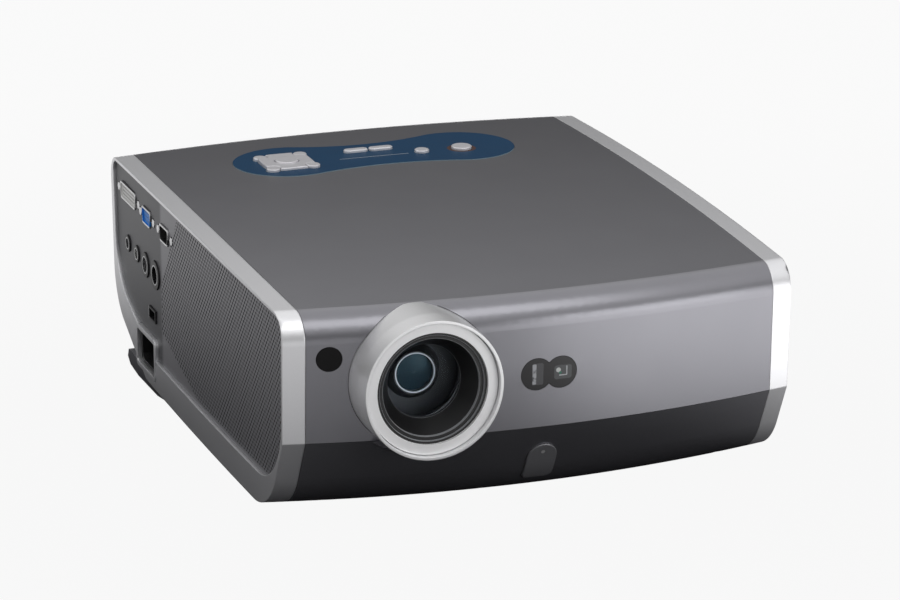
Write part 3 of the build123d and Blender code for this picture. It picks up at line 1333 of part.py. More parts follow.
# Fans, built about the Z axis with their back on Z = 0, then set in place
HUB_BORE_FIT = 0.05
FAN_SHAFT_R = 2.0
BLADES = 7
FAN_WALL = 1.6
FAN_CORNER_R = 3.0
FAN_HOLE_R = 1.6
FAN_HOLE_IN = 4.0
HUB_SHARE = 0.19
TIP_GAP = 1.0
STRUT = 3.0             # width and thickness of the spider
STRUT_GAP = 0.5
BLADE_T = 1.6
BLADE_TWIST = 26.0
BLADE_SINK = 0.5        # the blades run into the hub
SHAFT_START = 0.2


def fan(size, depth):
    """Frame with hub spider at the back, and the rotor that turns in it."""
    bore_r = size / 2 - FAN_WALL
    hub_r = size * HUB_SHARE
    tip_r = bore_r - TIP_GAP
    hole = size / 2 - FAN_HOLE_IN
    blade_mid = (hub_r + tip_r) / 2 - BLADE_SINK
    blade_l = tip_r - hub_r + 2 * BLADE_SINK
    hub_z = STRUT + STRUT_GAP
    with BuildPart() as frame:
        with BuildSketch():
            RectangleRounded(size, size, FAN_CORNER_R)
            with GridLocations(2 * hole, 2 * hole, 2, 2):
                Circle(FAN_HOLE_R, mode=Mode.SUBTRACT)
        extrude(amount=depth)
        with BuildSketch():
            Circle(bore_r)
        extrude(amount=depth, mode=Mode.SUBTRACT)
        with BuildSketch():
            Circle(hub_r)
            for turn in (45, -45):
                Rectangle(2 * bore_r + FAN_WALL / 2, STRUT, rotation=turn)
            Circle(FAN_SHAFT_R + HUB_BORE_FIT, mode=Mode.SUBTRACT)
        extrude(amount=STRUT)
    with BuildPart() as blade:
        with BuildSketch(Plane.XY.offset(hub_z + STRUT_GAP)):
            with Locations((blade_mid, 0)):
                Rectangle(blade_l, BLADE_T)
        with BuildSketch(Plane.XY.offset(depth - hub_z / 2)):
            with Locations(Location((0, 0, 0), (0, 0, BLADE_TWIST))):
                with Locations((blade_mid, 0)):
                    Rectangle(blade_l, BLADE_T)
        loft()
    with BuildPart() as rotor:
        with BuildSketch(Plane.XY.offset(hub_z)):
            Circle(hub_r)
        extrude(amount=depth - hub_z - TIP_GAP)
        with BuildSketch(Plane.XY.offset(SHAFT_START)):
            Circle(FAN_SHAFT_R)
        extrude(amount=hub_z + STRUT_GAP)
        with PolarLocations(0, BLADES):
            add(blade.part)
    return frame.part, rotor.part


INTAKE_SIZE = 60.0
INTAKE_T = 15.0
intake_place = Location((FILTER_X, FILTER_Y, FAN_SEAT_Z))
exhaust_place = Location((EXHAUST_X - EXHAUST_T / 2, EXHAUST_Y, EXHAUST_Z), (0, 90, 0))
for kind, place, size, depth in (
    ("intake", intake_place, INTAKE_SIZE, INTAKE_T), ("exhaust", exhaust_place, EXHAUST_SIZE, EXHAUST_T),
):
    frame, rotor = fan(size, depth)
    piece(place * frame, f"{kind}_fan_frame")
    piece(place * rotor, f"{kind}_fan_rotor")
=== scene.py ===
import math
import bmesh
import bpy
import numpy as np
from mathutils import Matrix, Vector


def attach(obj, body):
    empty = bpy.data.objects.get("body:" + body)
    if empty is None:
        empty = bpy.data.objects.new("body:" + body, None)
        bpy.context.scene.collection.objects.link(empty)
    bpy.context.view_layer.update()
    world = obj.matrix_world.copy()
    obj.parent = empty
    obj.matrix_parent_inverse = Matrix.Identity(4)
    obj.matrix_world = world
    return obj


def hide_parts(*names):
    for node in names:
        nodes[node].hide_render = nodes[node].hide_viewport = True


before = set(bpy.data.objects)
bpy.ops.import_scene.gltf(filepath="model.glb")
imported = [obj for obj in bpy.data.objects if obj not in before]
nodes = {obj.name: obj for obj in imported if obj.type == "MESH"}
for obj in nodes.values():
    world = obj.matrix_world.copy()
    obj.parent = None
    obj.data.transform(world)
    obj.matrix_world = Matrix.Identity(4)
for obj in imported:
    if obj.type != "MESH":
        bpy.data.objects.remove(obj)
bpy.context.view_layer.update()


# Camera. It looks down on the projector from the front left, through a long lens. Its place and the
# lens of 163 mm come from lining up the casing's edges with the photograph.
VIEW_AZIMUTH = math.radians(19.89)
VIEW_ELEVATION = math.radians(17.64)
VIEW_ROLL = math.radians(0.20)
VIEW_DISTANCE = 2.157
VIEW_CENTRE = Vector((0.0, 0.008, 0.059))
VIEW_SLIDE = (0.00621, 0.00497)
LENS_MM = 163.2
SENSOR_MM = 36.0

back = Vector((
    -math.sin(VIEW_AZIMUTH) * math.cos(VIEW_ELEVATION),
    -math.cos(VIEW_AZIMUTH) * math.cos(VIEW_ELEVATION),
    math.sin(VIEW_ELEVATION),
))
level_right = Vector((math.cos(VIEW_AZIMUTH), -math.sin(VIEW_AZIMUTH), 0.0))
level_up = back.cross(level_right)
right = math.cos(VIEW_ROLL) * level_right + math.sin(VIEW_ROLL) * level_up
up = math.cos(VIEW_ROLL) * level_up - math.sin(VIEW_ROLL) * level_right
eye = VIEW_CENTRE + VIEW_DISTANCE * back + VIEW_SLIDE[0] * right + VIEW_SLIDE[1] * up
camera_data = bpy.data.cameras.new("camera")
camera_data.lens = LENS_MM
camera_data.sensor_width = SENSOR_MM
camera = bpy.data.objects.new("camera", camera_data)
bpy.context.scene.collection.objects.link(camera)
camera.matrix_world = Matrix((
    (right.x, up.x, back.x, eye.x), (right.y, up.y, back.y, eye.y), (right.z, up.z, back.z, eye.z), (0, 0, 0, 1),
))
bpy.context.scene.camera = camera
bpy.context.scene.view_settings.view_transform = "Standard"


# Lamps. Three soft boxes: one high over the front, a weak one at the left, and one low at the front
# right, which puts the sheen on the front face beside the lens.
def softbox(name, place, target, size, power):
    """Rectangular lamp at a place, turned to face a target."""
    data = bpy.data.lights.new(name, "AREA")
    data.shape = "RECTANGLE"
    data.size, data.size_y = size
    data.energy = power
    lamp = bpy.data.objects.new(name, data)
    bpy.context.scene.collection.objects.link(lamp)
    lamp.location = place
    lamp.rotation_euler = (Vector(target) - Vector(place)).to_track_quat("-Z", "Y").to_euler()


softbox("top_front_box", (0.15, -0.9, 1.5), (0.0, -0.1, 0.06), (1.3, 0.9), 5.0)
softbox("left_box", (-1.5, 0.3, 0.45), (0.0, 0.0, 0.05), (0.8, 0.9), 3.0)
softbox("front_right_box", (1.1, -1.7, 0.35), (0.0, -0.1, 0.08), (1.2, 0.6), 5.5)


# Room. White where the camera looks at it or through glass. In the paint it mirrors dim low down,
# darkest at the rear, and bright overhead, which shades the flat top from rear to front.
class Wire:
    """An output of a node in a material or world. Arithmetic adds Math nodes; grow adds any other node."""

    def __init__(self, tree, socket=None):
        self.tree = tree
        self.socket = socket

    def grow(self, kind, settings, sockets, output=0):
        """New node of a kind: its settings first, then the values or links of its sockets."""
        node = self.tree.nodes.new("ShaderNode" + kind)
        for name, value in settings.items():
            setattr(node, name, value)
        for name, value in sockets.items():
            if isinstance(value, Wire):
                self.tree.links.new(value.socket, node.inputs[name])
            else:
                node.inputs[name].default_value = value
        return Wire(self.tree, node.outputs[output])

    def out(self, name):
        """Another output of the same node."""
        return Wire(self.tree, self.socket.node.outputs[name])

    def sums(self, operation, *values):
        """Math node on up to three values or wires."""
        return self.grow("Math", {"operation": operation}, dict(enumerate(values)))

    def split(self):
        """X, Y and Z of a vector."""
        x = self.grow("SeparateXYZ", {}, {0: self})
        return [x.out(axis) for axis in "XYZ"]

    def ramp(self, low, high):
        """Smooth step from 0 at low to 1 at high."""
        limits = {"Value": self, "From Min": low, "From Max": high}
        return self.grow("MapRange", {"interpolation_type": "SMOOTHSTEP"}, limits)

    def length(self):
        """Length of a vector."""
        return self.grow("VectorMath", {"operation": "LENGTH"}, {0: self}, output="Value")

    def near(self, value, margin):
        """1 within a margin of a value, and 0 elsewhere."""
        return self.sums("COMPARE", self, value, margin)

    # Math nodes under short names, and the operators
    def floor(self): return self.sums("FLOOR", self)
    def fract(self): return self.sums("FRACT", self)
    def absolute(self): return self.sums("ABSOLUTE", self)
    def most(self, other): return self.sums("MAXIMUM", self, other)
    def least(self, other): return self.sums("MINIMUM", self, other)
    def __add__(self, other): return self.sums("ADD", self, other)
    def __radd__(self, other): return self.sums("ADD", other, self)
    def __sub__(self, other): return self.sums("SUBTRACT", self, other)
    def __rsub__(self, other): return self.sums("SUBTRACT", other, self)
    def __mul__(self, other): return self.sums("MULTIPLY", self, other)
    def __truediv__(self, other): return self.sums("DIVIDE", self, other)
    def __lt__(self, other): return self.sums("LESS_THAN", self, other)
    def __gt__(self, other): return self.sums("GREATER_THAN", self, other)
    def __pow__(self, other): return self.sums("POWER", self, other)


ROOM_LIGHT = 0.32
MIRROR_REAR = 0.03
MIRROR_FRONT = 0.30
MIRROR_SKY = 1.0
FRONT_TURN = (0.0, 0.6)  # parts of a direction towards the front between which the low wall brightens
SKY_RISE = (0.22, 0.60)  # sines of the heights between which the wall turns bright
WHITE = (1.0, 1.0, 1.0, 1.0)

world = bpy.data.worlds.new("studio")
bpy.context.scene.world = world
world.use_nodes = True
room = Wire(world.node_tree)
ray = room.grow("LightPath", {}, {})
_, aim_y, aim_z = room.grow("TexCoord", {}, {}).out("Generated").split()
horizon = MIRROR_REAR + (0.0 - aim_y).ramp(*FRONT_TURN) * (MIRROR_FRONT - MIRROR_REAR)
mirror_light = horizon + aim_z.ramp(*SKY_RISE) * (MIRROR_SKY - horizon)
seen = ray.out("Is Camera Ray") + ray.out("Is Transmission Ray")
strength = ROOM_LIGHT + seen * (1 - ROOM_LIGHT) + ray.out("Is Glossy Ray") * (mirror_light - ROOM_LIGHT)
backdrop = world.node_tree.nodes["Background"]
backdrop.inputs["Color"].default_value = WHITE
world.node_tree.links.new(strength.socket, backdrop.inputs["Strength"])


# Floor. A wide table, which the camera sees as almost plain white, with a faint shadow. For the light
# that it throws back its colour is painted dark beside the projector, as shade, and pale further out; in
# the paint a part of it at the front right shows as a painted glow, which is no lamp.
EDGE_SAMPLES = 4


class Finish(Wire):
    """A material: a Principled shader, and the nodes grown in its tree."""

    def __init__(self, name, **constants):
        self.material = bpy.data.materials.new(name)
        self.material.use_nodes = True
        super().__init__(self.material.node_tree)
        self.shader = self.tree.nodes["Principled BSDF"]
        self.set(**constants)

    def set(self, **sockets):
        """Values or links for the shader's sockets, named with underscores for spaces."""
        for name, value in sockets.items():
            socket = self.shader.inputs[name.replace("_", " ")]
            if isinstance(value, Wire):
                self.tree.links.new(value.socket, socket)
            elif socket.type == "RGBA":
                socket.default_value = (*value, 1.0)
            else:
                socket.default_value = value

    def place(self):
        """Where on the object a point is, in metres."""
        return self.grow("TexCoord", {}, {}).out("Object")

    def noise(self, size, detail=2.0):
        """Noise from 0 to 1 with features of a size in metres."""
        return self.grow("TexNoise", {}, {"Vector": self.place(), "Scale": 1.0 / size, "Detail": detail})

    def blend(self, mask, low, high):
        """Colour that goes from low to high with the mask."""
        node = self.grow("Mix", {"data_type": "RGBA"}, {}).socket.node
        self.tree.links.new(mask.socket, node.inputs[0])
        for number, value in ((6, low), (7, high)):
            if isinstance(value, Wire):
                self.tree.links.new(value.socket, node.inputs[number])
            else:
                node.inputs[number].default_value = (*value, 1.0)
        return Wire(self.tree, node.outputs[2])

    def relief(self, height, depth, edge=0.0):
        """Normal from a height between 0 and 1 and its depth in metres, on edges rounded by a radius."""
        sockets = {"Height": height, "Distance": depth, "Strength": 1.0}
        if edge:
            sockets["Normal"] = self.grow("Bevel", {"samples": EDGE_SAMPLES}, {"Radius": edge})
        return self.grow("Bump", {}, sockets)

    def glowing(self, shader, mask, light):
        """Shader that turns with a mask into plain white light of a strength."""
        glow = self.grow("Emission", {}, {"Color": WHITE, "Strength": light})
        mix = self.grow("MixShader", {}, {0: mask})
        self.tree.links.new(shader, mix.socket.node.inputs[1])
        self.tree.links.new(glow.socket, mix.socket.node.inputs[2])
        return mix.socket


FLOOR_HALF = 4.5
FLOOR_Z = -0.0004
FLOOR_WHITE = 0.93
PAINTED_SHADE_FADE = (0.14, 0.75)  # distances from the origin between which the painted shade on the table gives way to pale
PAINTED_GLOW_STRENGTH = 2.1
PAINTED_GLOW_NEAR = (0.16, 0.46)   # distances between which its painted glow comes up in the paint
PAINTED_GLOW_SIDE = (-0.05, 0.45)  # tangents of the turn to the right of straight ahead between which it does
PAINTED_GLOW_LEFT = 0.24
LEAST_AHEAD = 0.05

floor_finish = Finish("floor", Roughness=0.9, Specular_IOR_Level=0.0)
from_origin = floor_finish.place().length()
# the table's colour is painted dark near the projector, as shade for the light it throws back
floor_finish.set(
    Base_Color=floor_finish.blend(from_origin.ramp(*PAINTED_SHADE_FADE), (0.05, 0.05, 0.055), (0.80, 0.80, 0.80)),
)
table_x, table_y, _ = floor_finish.place().split()
turn = table_x / (0.0 - table_y).most(LEAST_AHEAD)
# painted glow: to mirror rays the floor gives off light here, though no lamp is there
painted_glow = from_origin.ramp(*PAINTED_GLOW_NEAR) * (PAINTED_GLOW_LEFT + turn.ramp(*PAINTED_GLOW_SIDE) * (1 - PAINTED_GLOW_LEFT))
path = floor_finish.grow("LightPath", {}, {})
white_floor = floor_finish.glowing(floor_finish.shader.outputs[0], path.out("Is Camera Ray") * FLOOR_WHITE, 1.0)
floor_with_painted_glow = floor_finish.glowing(white_floor, path.out("Is Glossy Ray") * painted_glow, PAINTED_GLOW_STRENGTH)
floor_finish.tree.links.new(floor_with_painted_glow, floor_finish.tree.nodes["Material Output"].inputs["Surface"])
floor_corners = [(-1, -1), (1, -1), (1, 1), (-1, 1)]
floor_mesh = bpy.data.meshes.new("floor")
floor_mesh.from_pydata([(x * FLOOR_HALF, y * FLOOR_HALF, FLOOR_Z) for x, y in floor_corners], [], [(0, 1, 2, 3)])
floor_mesh.materials.append(floor_finish.material)
floor = bpy.data.objects.new("floor", floor_mesh)
bpy.context.scene.collection.objects.link(floor)


# Upper casing. One ABS moulding, screwed to the lower casing from below. Above the seam its front runs
# plain up to the lens collar, so the CAD cover's flare round the lens gives way to the plain stretch of
# the other side, mirrored and bored.
MM = 0.001
LENS_X = -67.0 * MM
LENS_Z = 80.1 * MM
FRONT_CLEAR_Y = -180.0
STRETCH = ((FRONT_CLEAR_Y, 40.4), (-148.5, 40.4), (-148.5, 43.0), (-110.0, 43.0))  # Y and radius in mm
BORE = ((FRONT_CLEAR_Y, 36.0), (-149.0, 36.0))
DRUM_SIDES = 180
WELD = 0.001 * MM
SHARP_EDGE = math.radians(30)
LEAST_NORMAL = 0.5
KEPT = "kept_normal"


def new_piece(name, mesh):
    """Object of a mesh, in the scene."""
    piece = bpy.data.objects.new(name, mesh)
    bpy.context.scene.collection.objects.link(piece)
    return piece


def drum(middle_x, outline):
    """Closed solid of revolution about Y at the lens height: x = middle + r cos t, z = lens height + r sin t."""
    turns = np.linspace(0.0, 2 * math.pi, DRUM_SIDES, endpoint=False)
    rings = [
        np.stack([middle_x + r * MM * np.cos(turns), np.full(DRUM_SIDES, y * MM), LENS_Z + r * MM * np.sin(turns)], 1)
        for y, r in outline
    ]
    step = np.arange(DRUM_SIDES)
    following = (step + 1) % DRUM_SIDES
    faces = [list(step), list((len(outline) - 1) * DRUM_SIDES + step)[::-1]]
    for ring in range(len(outline) - 1):
        low, high = ring * DRUM_SIDES, (ring + 1) * DRUM_SIDES
        faces += np.stack([low + following, low + step, high + step, high + following], 1).tolist()
    mesh = bpy.data.meshes.new("drum")
    mesh.from_pydata(np.concatenate(rings).tolist(), [], faces)
    return new_piece("drum", mesh)


def carved(piece, tool, operation):
    """Mesh of a piece after a boolean with a tool; the tool is taken away."""
    cut = piece.modifiers.new("cut", "BOOLEAN")
    cut.operation, cut.object, cut.solver = operation, tool, "EXACT"
    mesh = bpy.data.meshes.new_from_object(piece.evaluated_get(bpy.context.evaluated_depsgraph_get()))
    piece.modifiers.clear()
    bpy.data.objects.remove(tool)
    return mesh


def kept_normals(mesh):
    """Normals kept in a mesh's corner attribute, one row per corner."""
    rows = np.zeros(3 * len(mesh.loops), np.float32)
    mesh.attributes[KEPT].data.foreach_get("vector", rows)
    return rows.reshape(-1, 3)


whole = nodes["top_cover"].data.copy()
whole.name = "upper_casing"
curved_normals = np.zeros(3 * len(whole.loops), np.float32)
whole.corner_normals.foreach_get("vector", curved_normals)
whole.attributes.new(KEPT, "FLOAT_VECTOR", "CORNER").data.foreach_set("vector", curved_normals)
welded = bmesh.new()
welded.from_mesh(whole)
bmesh.ops.remove_doubles(welded, verts=welded.verts, dist=WELD)
welded.to_mesh(whole)
welded.free()
upper_casing = new_piece("upper_casing", whole)
plain = new_piece("plain_stretch", carved(upper_casing, drum(-LENS_X, STRETCH), "INTERSECT"))
plain.data = carved(plain, drum(-LENS_X, BORE), "DIFFERENCE")
upper_casing.data = carved(upper_casing, drum(LENS_X, STRETCH), "DIFFERENCE")
mirrored_normals = kept_normals(plain.data) * (-1.0, 1.0, 1.0)
plain.data.attributes[KEPT].data.foreach_set("vector", mirrored_normals.astype(np.float32).ravel())
joined = bmesh.new()
joined.from_mesh(plain.data)
bmesh.ops.scale(joined, vec=(-1.0, 1.0, 1.0), verts=joined.verts)
bmesh.ops.reverse_faces(joined, faces=joined.faces)
joined.from_mesh(upper_casing.data)
bmesh.ops.triangulate(joined, faces=joined.faces)
joined.to_mesh(upper_casing.data)
joined.free()
bpy.data.objects.remove(plain)
casing_mesh = upper_casing.data
casing_mesh.shade_smooth()
casing_mesh.set_sharp_from_angle(angle=SHARP_EDGE)
normals = kept_normals(casing_mesh)
lengths = np.linalg.norm(normals, axis=1, keepdims=True)
# the bored walls keep none, and a row of zeros leaves the normal to Blender
normals = np.where(lengths > LEAST_NORMAL, normals / np.maximum(lengths, LEAST_NORMAL), 0.0)
casing_mesh.normals_split_custom_set(normals.tolist())
casing_mesh.attributes.remove(casing_mesh.attributes[KEPT])
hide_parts("top_cover")
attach(upper_casing, "casing")
# sprayed a dark violet-grey metallic and lacquered satin; the flake is a fine grain
case_paint = Finish("case_paint", Metallic=0.8, Coat_Roughness=0.25, Coat_Weight=0.08)
flake = case_paint.noise(0.35 * MM)
case_paint.set(
    Base_Color=case_paint.blend(case_paint.noise(30 * MM), (0.238, 0.236, 0.258), (0.258, 0.256, 0.278)),
    Roughness=0.26 + flake * 0.06,
    Normal=case_paint.relief(flake, 0.008 * MM),
)
casing_mesh.materials.clear()
casing_mesh.materials.append(case_paint.material)


# Lower casing and hatches. The shell that carries everything, and the two hatches that clip into its
# floor, over the lamp and the air filter. They are ABS mouldings, sprayed like the upper casing.
def paint(names, finish):
    """Gives CAD nodes a finish in their material slots."""
    for name in names.split():
        mesh = nodes[name].data
        for index in range(len(mesh.materials)):
            mesh.materials[index] = finish.material


paint("top_cover bottom_pan lamp_door filter_cover", case_paint)


# Side frames. Moulded rings that clip to the shells and hold the side panels, and the frame of the
# mains inlet. They are sprayed silver and lacquered satin, and their edges are rounded.
def grained(name, grain_size, low, high, roughness, depth, edge=0.0, detail=2.0, **constants):
    """Finish whose colour runs from low to high with a grain that also adds to its roughness and relief."""
    finish = Finish(name, **constants)
    grain = finish.noise(grain_size, detail)
    finish.set(
        Base_Color=finish.blend(grain, low, high),
        Roughness=roughness[0] + grain * roughness[1],
        Normal=finish.relief(grain, depth, edge),
    )
    return finish


silver_paint = grained(
    "silver_paint", 0.4 * MM, (0.80, 0.80, 0.82), (0.88, 0.88, 0.90), (0.30, 0.08), 0.006 * MM, 0.9 * MM,
    Metallic=0.75, Coat_Weight=0.1, Coat_Roughness=0.3,
)
paint("left_side_frame right_side_frame ac_inlet_frame", silver_paint)


# Side panels. Dark grey mouldings that snap into the frames. Most of each is perforated in staggered
# rows for the air, inside a smooth border; the holes are painted near black, as the shade inside them.
# The part with the sockets is plain and darker.
HOLE_PITCH_Y = 3.6 * MM
HOLE_PITCH_Z = 2.05 * MM
HOLE_R = 0.80 * MM
FIELD_REAR_Y = 69 * MM
FIELD_CORNER = (43 * MM, 104.5 * MM)  # a point of the field's slanting upper rear edge
FIELD_CORNER_SLOPE = 1.41
FIELD_BOTTOM_Z = 25.5 * MM
FIELD_FOOT_Z = 24.5 * MM  # the lower edge rises towards the rear from here
FIELD_FOOT_SLOPE = 0.25
SOCKETS_FROM = (66 * MM, 72 * MM)
HOLE_DEPTH = 0.4 * MM


def distance(a, b, middle=(0.0, 0.0)):
    """Distance in the plane of two coordinates from a point of it."""
    return ((a - middle[0]) ** 2 + (b - middle[1]) ** 2) ** 0.5


grille = Finish("grille", Metallic=0.45)
x, y, z = grille.place().split()
row = z / HOLE_PITCH_Z
stagger = (row.floor() * 0.5).fract()
along = (y / HOLE_PITCH_Y + stagger).fract() - 0.5
away = distance(along * HOLE_PITCH_Y, (row.fract() - 0.5) * HOLE_PITCH_Z)
under_corner = (z + (y - FIELD_CORNER[0]) * FIELD_CORNER_SLOPE) < FIELD_CORNER[1]
over_foot = (z > FIELD_BOTTOM_Z) * ((z - y * FIELD_FOOT_SLOPE) > FIELD_FOOT_Z)
hole_and_shade = (away < HOLE_R) * (y < FIELD_REAR_Y) * under_corner * over_foot
web = grille.blend(y.ramp(*SOCKETS_FROM), (0.27, 0.267, 0.285), (0.10, 0.10, 0.108))
grille.set(
    # the holes get a painted shade of near black
    Base_Color=grille.blend(hole_and_shade, web, (0.004, 0.004, 0.005)),
    Roughness=0.42 + hole_and_shade * 0.45,
    Normal=grille.relief(1 - hole_and_shade, HOLE_DEPTH),
)
paint("left_side_panel right_side_panel", grille)


# Key plate. Thin moulded plate glued into the top and printed blue, with its edge faces painted pale as a
# highlight, a fine white line between the two groups of keys and a bronze ring round the power key.
LINE_Y = (102.7 * MM, 102.1 * MM)
LINE_X = (-23.0 * MM, 16.2 * MM)
LINE_W = 0.45 * MM
POWER_KEY = (47.4 * MM, 103.4 * MM)
POWER_RING_R = 8.0 * MM
EDGE_HIGHLIGHT_UP = 0.6

key_plate = Finish("key_plate", Specular_IOR_Level=0.12)
x, y, z = key_plate.place().split()
line_middle = LINE_Y[0] + (x - LINE_X[0]) * ((LINE_Y[1] - LINE_Y[0]) / (LINE_X[1] - LINE_X[0]))
white_line = y.near(line_middle, LINE_W / 2) * (x > LINE_X[0]) * (x < LINE_X[1])
bronze_ring = distance(x, y, POWER_KEY) < POWER_RING_R
# faces that don't face up are painted pale, as a highlight
painted_edge_highlight = key_plate.grow("NewGeometry", {}, {}).out("Normal").split()[2] < EDGE_HIGHLIGHT_UP
plate_cloud = key_plate.noise(18 * MM)
blue = key_plate.blend(plate_cloud, (0.0, 0.045, 0.118), (0.0, 0.052, 0.134))
with_ring = key_plate.blend(bronze_ring, blue, (0.10, 0.050, 0.038))
with_edge_highlight = key_plate.blend(painted_edge_highlight, with_ring, (0.30, 0.42, 0.48))
key_plate.set(
    Base_Color=key_plate.blend(white_line, with_edge_highlight, (0.75, 0.80, 0.83)),
    Roughness=0.42 + plate_cloud * 0.06,
)
paint("control_plate", key_plate)


# Keys. Moulded caps that sit on the switches of the key board and come up through the key plate. They
# are sprayed satin silver, and their rims are rounded.
key_cap = grained(
    "key_cap", 0.5 * MM, (0.80, 0.79, 0.82), (0.88, 0.87, 0.90), (0.30, 0.06), 0.004 * MM, 0.8 * MM, Metallic=0.35,
)
paint(
    "nav_pad ok_button power_button standby_key corner_button_1 corner_button_2 corner_button_3 "
    "corner_button_4 oblong_button_1 oblong_button_2", key_cap,
)


# Leg release. Moulded cap low in the front, sprayed grey and well rounded, with a small pale dot. It is
# pressed in against a spring and frees the front leg.
RELEASE_DOT = (-2.0 * MM, 33.6 * MM)
RELEASE_DOT_R = 1.0 * MM

release_cap = Finish("release_cap", Metallic=0.6)
x, y, z = release_cap.place().split()
release_grain = release_cap.noise(0.5 * MM)
release_tone = release_cap.blend(release_grain, (0.33, 0.33, 0.35), (0.38, 0.38, 0.40))
release_cap.set(
    Base_Color=release_cap.blend(distance(x, z, RELEASE_DOT) < RELEASE_DOT_R, release_tone, (0.85, 0.85, 0.85)),
    Roughness=0.30 + release_grain * 0.06,
    Normal=release_cap.relief(release_grain, 0.004 * MM, 1.2 * MM),
)
paint("leg_release_button", release_cap)


# Remote window. A disc of smoked plastic over the infrared receiver, pressed into the front; it lets
# no visible light out and reads as near black.
smoked = Finish("smoked", Base_Color=(0.0015, 0.001, 0.0015), Roughness=0.5, Specular_IOR_Level=0.25)
paint("sensor_window", smoked)


# Autofocus window. A pane of smoked plastic in the form of two joined discs, held from behind. It lies
# over a tall pale emitter on the left and a square receiver with two spots and a bright corner.
EMITTER = ((-8.2, 77.3), (2.9, 5.6), 1.0)  # middle, half size and corner radius in mm, in X and Z
EMITTER_STRIP = ((-10.0, 77.3), (1.0, 5.2), 0.5)
RECEIVER = ((5.0, 77.2), (4.6, 3.6), 1.4)
BLOB_SIZE = 2.2 * MM
BLOB_EDGE = (0.42, 0.62)
WHITE_SPOT = ((2.6 * MM, 78.4 * MM), 1.25 * MM)
GREEN_SPOT = ((3.6 * MM, 76.9 * MM), 0.75 * MM)
CORNER_Z = 75.6 * MM
CORNER_X = 7.0 * MM
CORNER_HALF_W = 0.28 * MM
CORNER_FROM_X = (3.0 * MM, 7.2 * MM)
CORNER_FROM_Z = (75.4 * MM, 80.2 * MM)


def in_box(a, b, middle, half_size, corner):
    """1 inside a rounded rectangle in mm: |max(q, 0)| + min(max(qa, qb), 0) < corner, q past the inner box."""
    out_a = (a - middle[0] * MM).absolute() - (half_size[0] - corner) * MM
    out_b = (b - middle[1] * MM).absolute() - (half_size[1] - corner) * MM
    past = distance(out_a.most(0.0), out_b.most(0.0))
    return (past + out_a.most(out_b).least(0.0)) < corner * MM


eyes = Finish("eyes", Roughness=0.12)
x, y, z = eyes.place().split()
corner_across = z.near(CORNER_Z, CORNER_HALF_W) * (x > CORNER_FROM_X[0]) * (x < CORNER_FROM_X[1])
corner_up = x.near(CORNER_X, CORNER_HALF_W) * (z > CORNER_FROM_Z[0]) * (z < CORNER_FROM_Z[1])
strip_blobs = in_box(x, z, *EMITTER_STRIP) * eyes.noise(BLOB_SIZE, 1.0).ramp(*BLOB_EDGE)
tone = eyes.blend(in_box(x, z, *EMITTER), (0.012, 0.011, 0.013), (0.085, 0.085, 0.092))
tone = eyes.blend(strip_blobs, tone, (0.50, 0.51, 0.54))
tone = eyes.blend(in_box(x, z, *RECEIVER), tone, (0.095, 0.10, 0.105))
tone = eyes.blend(distance(x, z, WHITE_SPOT[0]) < WHITE_SPOT[1], tone, (0.72, 0.75, 0.74))
tone = eyes.blend(distance(x, z, GREEN_SPOT[0]) < GREEN_SPOT[1], tone, (0.03, 0.20, 0.13))
eyes.set(Base_Color=eyes.blend(corner_across.most(corner_up), tone, (0.62, 0.64, 0.66)))
paint("autofocus_window", eyes)


# Lens collar. Ring turned from aluminium and anodised satin, with a rounded lip. It is pressed into the
# casing and stands round the front barrel.
collar_metal = grained(
    "collar_metal", 0.3 * MM, (0.86, 0.86, 0.87), (0.93, 0.93, 0.94), (0.28, 0.08), 0.004 * MM, 0.7 * MM,
    Metallic=0.55,
)
paint("lens_collar", collar_metal)


# Front barrel. Turned aluminium: a silver front ring round a throat that steps down in blackened rings,
# some edged with a thin painted highlight. It carries the front glass and moves in and out as the focus
# ring turns.
SILVER_R = 28.3 * MM
PAINTED_HIGHLIGHT_EDGES = ((26.9, 0.12), (24.9, 0.16), (18.9, 0.04))  # radius and half width in mm

barrel_finish = Finish("barrel_finish")
x, y, z = barrel_finish.place().split()
radius = distance(x, z, (LENS_X, LENS_Z))
# thin rings of painted highlight along the edges of the steps
rings = [radius.near(edge_r * MM, edge_w * MM) for edge_r, edge_w in PAINTED_HIGHLIGHT_EDGES]
black_rings_and_highlights = barrel_finish.blend(rings[0].most(rings[1]).most(rings[2]), (0.010, 0.010, 0.011), (0.36, 0.37, 0.39))
silver = radius > SILVER_R
barrel_grain = barrel_finish.noise(0.3 * MM)
barrel_finish.set(
    Base_Color=barrel_finish.blend(silver, black_rings_and_highlights, (0.94, 0.94, 0.95)),
    Metallic=silver * 0.4,
    Roughness=0.34 + barrel_grain * 0.08,
    Normal=barrel_finish.relief(barrel_grain, 0.004 * MM, 0.3 * MM),
)
paint("focus_barrel", barrel_finish)


# Glass. The ground front element is clear, with a weak coating, and is held in the front barrel; the
# small zoom element looks dark blue-green. The prism and the lamp's burner are plain polished glass.
coated_glass = Finish(
    "coated_glass", Base_Color=(0.92, 0.96, 1.0), Roughness=0.0, Transmission_Weight=1.0, IOR=1.12,
    Specular_Tint=(0.8, 0.92, 1.0),
)
paint("front_lens", coated_glass)
blue_glass = Finish(
    "blue_glass", Base_Color=(0.012, 0.030, 0.042), Roughness=0.05, Transmission_Weight=0.2, IOR=1.4,
    Specular_Tint=(0.6, 0.9, 1.0),
)
paint("zoom_lens", blue_glass)
inner_glass = Finish("inner_glass", Base_Color=(0.85, 0.93, 0.98), Roughness=0.02, Transmission_Weight=1.0, IOR=1.5)
paint("prism_block lamp_burner", inner_glass)


